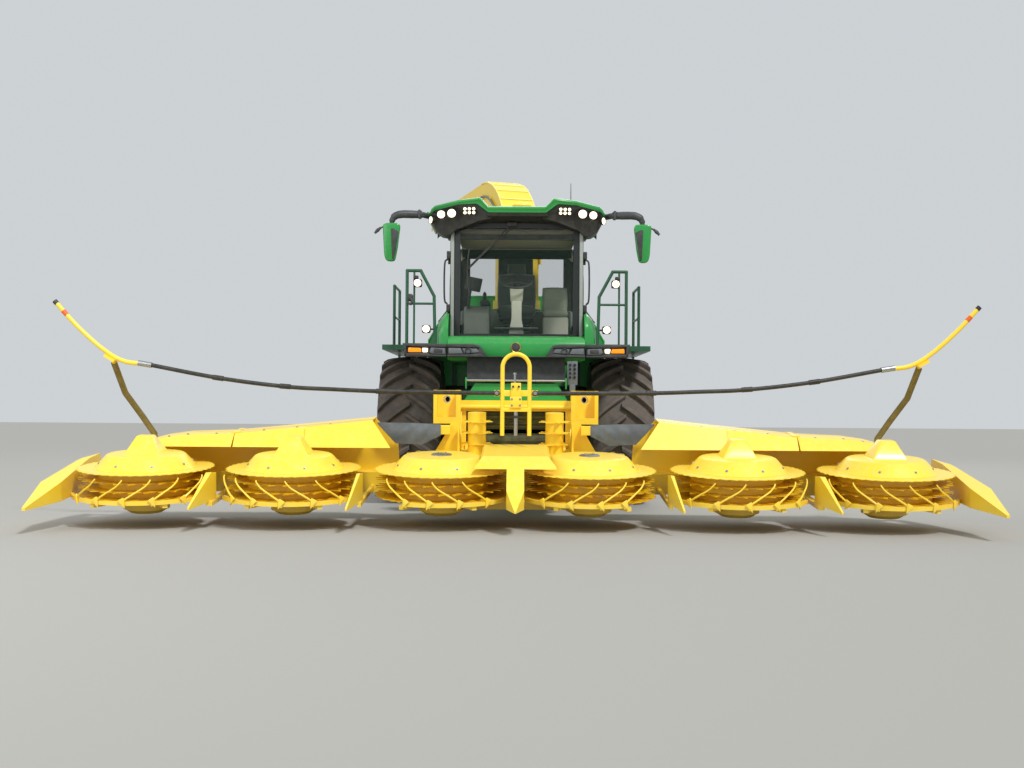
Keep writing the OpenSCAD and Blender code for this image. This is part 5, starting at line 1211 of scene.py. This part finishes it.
for sx in (1, -1):
    add_across(bm, sx * 0.177, 0.049, (HOOP_Y + 0.023, 1.330), (HOOP_Y + 0.035, 1.394), 0.003)
    add_across(bm, sx * 0.146, 0.018, (HOOP_Y + 0.010, 1.330), (HOOP_Y + 0.035, 1.394), 0.003)
    pin = Matrix.Translation((sx * 0.2, HOOP_Y + 0.026, PIVOT_Z)) @ LOOK
    add_lathe(bm, [(0, 0), (0.012, 0), (0.012, 0.050), (0, 0.050)], pin, 24, 1)
    add_screw(bm, pin @ Matrix.Translation((0, 0, 0.050)), 0.012, 1)
    for z in (1.235, 1.300):
        add_screw(bm, Matrix.Translation((sx * 0.042, HOOP_Y - 0.045, z)) @ LOOK, 0.007, 1)
    # hydraulic fittings on the valve block
    add_tube(bm, [(sx * 0.030, HOOP_Y - 0.040, 1.430), (sx * 0.030, HOOP_Y - 0.062, 1.430)], 0.012, 2, 12, 0)
piece("hoop_dressed", bm, [yellow_enamel, zinc, moulded_black], "feeder", ("hoop",), 35)

# Crop pipes: long black tubes joined by sleeves, with a clamp and a bent yellow end that
# carries an orange band and a dark cap.
orange_band, _ = new_material("orange_marker_band", Base_Color=linear("#e8641c"), Roughness=0.45)
LONG_PIPE = [(0.216, PIVOT_Z), (0.30, PIVOT_Z), (0.80, 1.365), (1.40, 1.372), (1.90, 1.390),
             (2.40, 1.415), (3.10, 1.500), (3.86, 1.640)]
BENT_END = [(3.850, 1.638), (4.100, 1.672), (4.320, 1.800), (4.590, 2.040), (4.810, 2.280)]
for side, sx in SIDES:
    bm = bmesh.new()
    eye = Matrix.Translation((sx * 0.2, HOOP_Y + 0.018, PIVOT_Z)) @ LOOK
    add_lathe(bm, [(0.0125, 0), (0.030, 0), (0.030, 0.036), (0.0125, 0.036)], eye, 32, 0, True)
    add_tube(bm, [(sx * x, HOOP_Y, z) for x, z in LONG_PIPE], 0.022, 0, 18, 8)
    for (x0, z0), (x1, z1) in (((1.36, 1.371), (1.46, 1.374)), ((2.35, 1.413), (2.46, 1.421)),
                               ((3.05, 1.493), (3.16, 1.508))):
        add_tube(bm, [(sx * x0, HOOP_Y, z0), (sx * x1, HOOP_Y, z1)], 0.0275, 0, 18, 0)
    add_tube(bm, [(sx * x, HOOP_Y, z) for x, z in BENT_END], 0.0235, 1, 18, 8)
    add_tube(bm, [(sx * 3.80, HOOP_Y, 1.629), (sx * 3.94, HOOP_Y, 1.651)], 0.029, 3, 18, 0)
    add_tube(bm, [(sx * 4.690, HOOP_Y, 2.146), (sx * 4.730, HOOP_Y, 2.190)], 0.0255, 2, 18, 0)
    add_tube(bm, [(sx * 4.795, HOOP_Y, 2.264), (sx * 4.822, HOOP_Y, 2.293)], 0.0265, 0, 18, 0)
    piece(f"crop_pipe_{side}_dressed", bm, [black_enamel, yellow_enamel, orange_band, zinc], f"pipe_{side}",
          (f"crop_pipe_{side}",), 35)

# Feeder front: plated cross rod in green brackets, hydraulic coupling plate with its row
# of ports, and bolt heads along the carrier frame.
bm = bmesh.new()
add_tube(bm, [(-0.560, -2.135, 1.512), (0.560, -2.135, 1.512)], 0.013, 0, 16, 0)
for sx in (1, -1):
    add_across(bm, sx * 0.560, 0.008, (-2.165, 1.42), (-2.085, 1.545), 0.003, 1)
    for i in range(5):
        add_screw(bm, Matrix.Translation((sx * 0.640, -2.160, 0.64 + i * 0.11)) @ LOOK, 0.010, 0)
    # rims of the holes in the hitch towers
    add_lathe(bm, [(0.030, 0), (0.040, 0), (0.040, 0.008), (0.030, 0.008)],
              Matrix.Translation((sx * 0.760, -2.350, 1.300)) @ LOOK, 28, 0, True)
piece("feeder_fittings", bm, [zinc, green_enamel], "feeder", (), 35)

bm = bmesh.new()
add_block(bm, (0.575, -2.120, 1.47), (0.690, -2.100, 1.735), 0.004, 0)
for i in range(2):
    for j in range(4):
        port = Matrix.Translation((0.605 + 0.052 * i, -2.120, 1.555 + 0.046 * j)) @ LOOK
        add_lathe(bm, [(0, 0), (0.017, 0), (0.017, 0.014), (0.010, 0.016), (0.010, 0.004), (0, 0.004)],
                  port, 20, 1)
add_block(bm, (0.600, -2.125, 1.38), (0.665, -2.095, 1.475), 0.004, 0)
piece("coupling_plate", bm, [grey_facet, moulded_black], "feeder", (), 35)

# Wing covers: the folded seam strip between the two covers with its plated lock, the
# screws along the covers' lower edge, and the arm that the crop pipe rests on.
olive_hose = dark_coat("olive_hose", "#6d6233", "#a8935a", 0.5, 0.6, 220.0, 0.002)
for side, sx in SIDES:
    bm = bmesh.new()
    place = HEADER @ Matrix.Diagonal((sx, 1, 1, 1))
    add_block(bm, (2.915, 0.478, 0.549), (2.985, 0.878, 0.566), 0.003, 0, place)
    add_block(bm, (2.78, 0.455, 0.470), (2.94, 0.479, 0.520), 0.004, 1, place)
    add_block(bm, (2.83, 0.440, 0.484), (2.90, 0.458, 0.508), 0.004, 1, place)
    for x, z in ((1.65, 0.670), (1.95, 0.650), (2.30, 0.617), (2.65, 0.584), (3.15, 0.545), (3.45, 0.535),
                 (3.65, 0.511)):
        spot = place @ Matrix.Translation((x, 0.500, z))
        add_screw(bm, spot @ Matrix.Rotation(math.radians(8), 4, "X"), 0.009, 1)
    # the pipe's cradle arm: a bent tube clad in olive hose
    add_tube(bm, [(sx * 3.900, -2.613, 0.744), (sx * 3.905, -2.640, 0.900), (sx * 4.020, -2.700, 1.090),
                  (sx * 4.160, -2.860, 1.340), (sx * 4.205, -3.110, 1.652)], 0.033, 2, 16, 0)
    piece(f"cover_fittings_{side}", bm, [yellow_enamel, zinc, olive_hose], f"wing_{side}",
          (), 35)

# Spout: stiffening ribs over the elbow, rolled edges, and a grey wear rail on each side.
SPOUT = Matrix.Translation((0, 1.25, 0)) @ Matrix.Rotation(math.radians(20), 4, "Z")
ELBOW_Y, ELBOW_Z, ELBOW_R = 0.785, 3.4303, 1.0
pale_yellow = enamel("pale_yellow_enamel", "#f6dc5a", "#f9e68c", "#e6d9a0", 0.3, 0.4)
rail_grey = dark_coat("spout_rail_grey", "#7b7f80", "#a19c8c", 0.35, 0.45, 250.0, 0.001)


# Frame and point on the elbow, so many degrees up from the riser's top.
def elbow_frame(degrees):
    return SPOUT @ Matrix.Translation((0, ELBOW_Y, ELBOW_Z)) @ Matrix.Rotation(math.radians(-degrees), 4, "X")


def on_elbow(x, radius, degrees):
    a = math.radians(degrees)
    return SPOUT @ Vector((x, ELBOW_Y - radius * math.cos(a), ELBOW_Z + radius * math.sin(a)))


bm = bmesh.new()
for degrees in range(6, 93, 12):
    add_block(bm, (-0.243, -ELBOW_R - 0.014, -0.012), (0.243, -ELBOW_R + 0.004, 0.012), 0.004, 0,
              elbow_frame(degrees))
for sx in (1, -1):
    add_tube(bm, [on_elbow(sx * 0.240, 0.996, d) for d in range(0, 94, 3)], 0.013, 0, 10, 0)
    add_tube(bm, [on_elbow(sx * 0.262, 0.80, d) for d in range(4, 93, 4)], 0.016, 1, 12, 0)
    for degrees in (8, 36, 64, 90):
        add_across(bm, sx * 0.250, 0.014, (-0.835, -0.020), (-0.765, 0.020),
                  0.004, 0, elbow_frame(degrees))
piece("spout_ribs", bm, [pale_yellow, rail_grey], "boom", (), 35)


# Rear body: rolled edges along the pressed panels, ribbed air grilles on the shoulders and
# sides, a screened deck over the cooler, latches and louvres on the doors.
HOOD = [(1.200, 1.505), (1.250, 2.150), (1.120, 2.380), (0.820, 2.780)]
HOOD_Y0, HOOD_Y1 = 1.65, 4.50
bm = bmesh.new()
for sx in (1, -1):
    for x, z in HOOD[1:]:
        edge = sx * (x - 0.012)
        add_tube(bm, [(edge, HOOD_Y0 + 0.01, z - 0.008), (edge, HOOD_Y1 - 0.01, z - 0.008)], 0.016, 0, 12, 0)
    add_tube(bm, [(sx * 1.192, HOOD_Y0, 1.510), (sx * 1.192, HOOD_Y1, 1.510)], 0.015, 0, 12, 0)
    # pressed bead under the shoulder
    add_across(bm, sx * 1.246, 0.010, (HOOD_Y0 + 0.06, 2.154), (HOOD_Y1 - 0.06, 2.174), 0.006)
loop = [(x - 0.010, z - 0.006) for x, z in HOOD] + [(-(x - 0.010), z - 0.006) for x, z in HOOD[::-1]]
for y in (HOOD_Y0 + 0.008, HOOD_Y1 - 0.008):
    add_tube(bm, [(x, y, z) for x, z in loop], 0.016, 0, 12, 0)
# cross beads of the top panel
for y in (2.02, 3.92):
    add_block(bm, (-0.80, y, 2.776), (0.80, y + 0.05, 2.790), 0.006, 0)
piece("body_edges", bm, [green_enamel], "chassis", (), 35)


# Low and high corners of a frame's four bars; each runs over the full width or height.
def frame_bars(low, high, bar):
    (x0, y0), (x1, y1) = low, high
    return ((low, (x1, y0 + bar)), ((x0, y1 - bar), high), (low, (x0 + bar, y1)), ((x1 - bar, y0), high))


# Grille in a frame on a flat panel: a dark back, slats, and screws in the corners.
def add_grille(bm, place, length, height, slats):
    bar, depth = 0.028, 0.022
    add_block(bm, (0, 0, -0.004), (length, height, 0.006), 0.002, 1, place)
    for low, high in frame_bars((0, 0), (length, height), bar):
        add_block(bm, (*low, -0.004), (*high, depth), 0.004, 0, place)
    for i in range(slats):
        y = bar + (height - 2 * bar) * (i + 0.5) / slats
        slat = place @ Matrix.Translation((bar, y, 0.010)) @ Matrix.Rotation(math.radians(35), 4, "X")
        add_block(bm, (0, -0.012, -0.002), (length - 2 * bar, 0.012, 0.002), 0.001, 0, slat, 1)
    for i in range(1, 4):
        x = length * i / 4
        add_across(bm, x, 0.005, (bar, 0.004), (height - bar, 0.018), 0.001, 0, place, 1)
    for x in (0.014, length - 0.014):
        for y in (0.014, height - 0.014):
            add_screw(bm, place @ Matrix.Translation((x, y, depth)), 0.005, 2)


# Frame on a panel of the side sx, from y0 to y1 and from its lower edge to its upper edge.
# Its local X runs back on the left side and forward on the right side.
def panel(sx, y0, y1, lower, upper):
    start = Vector((sx * lower[0], y0 if sx > 0 else y1, lower[1]))
    along_panel = Vector((0, sx, 0))
    up_panel = (Vector((sx * upper[0], start.y, upper[1])) - start).normalized()
    out = along_panel.cross(up_panel)
    turn = Matrix((along_panel, up_panel, out)).transposed().to_4x4()
    return Matrix.Translation(start + out * 0.002) @ turn


bm = bmesh.new()
SHOULDER = ((1.102, 2.404), (0.838, 2.756))
for sx in (1, -1):
    add_grille(bm, panel(sx, 3.42, 4.34, (1.2138, 1.68), (1.2446, 2.08)), 0.92, 0.40, 12)
    add_grille(bm, panel(sx, 2.35, 3.75, *SHOULDER), 1.40, 0.43, 13)
    add_grille(bm, panel(sx, 1.72, 2.22, *SHOULDER), 0.50, 0.43, 13)
add_grille(bm, Matrix.Translation((-0.62, 2.25, 2.781)), 1.24, 0.62, 16)
add_grille(bm, Matrix.Translation((-0.62, 3.02, 2.781)), 1.24, 0.72, 18)
# exhaust outlet with its rolled rim and heat shield
add_block(bm, (0.30, 4.02, 2.776), (0.62, 4.34, 2.800), 0.008, 1)
add_lathe(bm, [(0.085, 0), (0.085, 0.075), (0.092, 0.082), (0.085, 0.088), (0.076, 0.082), (0.076, 0.0)],
          Matrix.Translation((0.46, 4.18, 2.798)), 40, 3, True)
piece("body_grilles", bm, [moulded_black, black_enamel, zinc, worn_steel], "chassis", (), 35)

# Doors of the body: recessed latches, louvres and pressed frames that swing with them.
# The side panels lean out with their height.
def side_panel_x(z):
    return 1.2 + 0.05 * (z - 1.5) / 0.65


for side, sx in SIDES:
    bm = bmesh.new()
    for y in (2.12, 2.98):
        x = sx * 1.238
        add_across(bm, x, 0.012, (y - 0.055, 1.70), (y + 0.055, 1.745), 0.006, 1)
        add_tube(bm, [(x + sx * 0.010, y - 0.038, 1.722), (x + sx * 0.026, y, 1.722),
                      (x + sx * 0.010, y + 0.038, 1.722)], 0.007, 2, 10, 5)
    for i in range(9):
        z = 1.80 + 0.032 * i
        x = sx * side_panel_x(z)
        add_across(bm, x, 0.010, (2.28, z - 0.006), (2.84, z + 0.008), 0.004, 0)
    for low, high in frame_bars((1.86, 1.655), (3.24, 2.11), 0.015):
        add_across(bm, sx * side_panel_x((low[1] + high[1]) / 2), 0.006, low, high, 0.003)
    piece(f"service_door_fittings_{side}", bm, [green_enamel, moulded_black, zinc], f"service_{side}",
          (), 35)

bm = bmesh.new()
for low, high in (*frame_bars((-0.80, 1.575), (0.80, 2.545), 0.045), ((-0.022, 1.62), (0.022, 2.50))):
    add_block(bm, (low[0], 4.496, low[1]), (high[0], 4.522, high[1]), 0.006)
for i in range(22):
    z = 1.645 + i * 0.0395
    slat = Matrix.Translation((0, 4.504, z)) @ Matrix.Rotation(math.radians(-35), 4, "X")
    add_block(bm, (-0.755, -0.003, -0.014), (0.755, 0.003, 0.014), 0.0015, 1, slat, 1)
add_block(bm, (0.62, 4.518, 2.00), (0.74, 4.540, 2.06), 0.006, 1)
add_tube(bm, [(0.640, 4.536, 2.03), (0.680, 4.566, 2.03), (0.720, 4.536, 2.03)], 0.008, 2, 10, 5)
piece("rear_door_fittings", bm, [green_enamel, moulded_black, zinc], "rear_door", (), 35)

# Tail lamps in black housings, round reflectors, rear working lamps, the ballast's bolts
# and the blank plate place.
red_lens, _ = new_material("red_lamp_lens", Base_Color=linear("#b3140f"), Roughness=0.15, IOR=1.49,
                           Emission_Color=linear("#ff2a18"), Emission_Strength=0.15)
plate_white, _ = new_material("blank_plate_white", Base_Color=linear("#d9dbd6"), Roughness=0.4)
bm = bmesh.new()
for sx in (1, -1):
    add_across(bm, sx * 1.03, 0.11, (4.498, 1.62), (4.545, 1.80), 0.012, 0)
    # red lens below, orange lens above
    add_across(bm, sx * 1.03, 0.098, (4.530, 1.632), (4.556, 1.735), 0.012, 1)
    add_across(bm, sx * 1.03, 0.098, (4.530, 1.742), (4.556, 1.788), 0.010, 2)
    reflector = Matrix.Translation((sx * 0.80, 4.650, 0.98)) @ LOOK_BACK
    add_lathe(bm, [(0.0, 0.0), (0.040, 0.0), (0.042, 0.006), (0.036, 0.010), (0.0, 0.010)], reflector, 32, 1)
    for x in (0.30, 0.62):
        for z in (0.80, 1.00):
            add_screw(bm, Matrix.Translation((sx * x, 4.650, z)) @ LOOK_BACK, 0.016, 4)
    # rear working lamp under the shoulder
    add_across(bm, sx * 1.02, 0.06, (4.498, 2.22), (4.54, 2.32), 0.012, 0)
    lamp_place = Matrix.Translation((sx * 1.02, 4.54, 2.27)) @ LOOK_BACK
    add_lathe(bm, [(0.0, 0.0), (0.040, 0.0), (0.043, 0.010), (0.036, 0.012), (0.0, 0.008)], lamp_place, 32, 5)
add_block(bm, (-1.02, 4.500, 1.515), (-0.50, 4.512, 1.560), 0.003, 3)
piece("tail_lamps", bm, [moulded_black, red_lens, orange_lens, plate_white, zinc, lamp_lens], "chassis",
      (), 35)
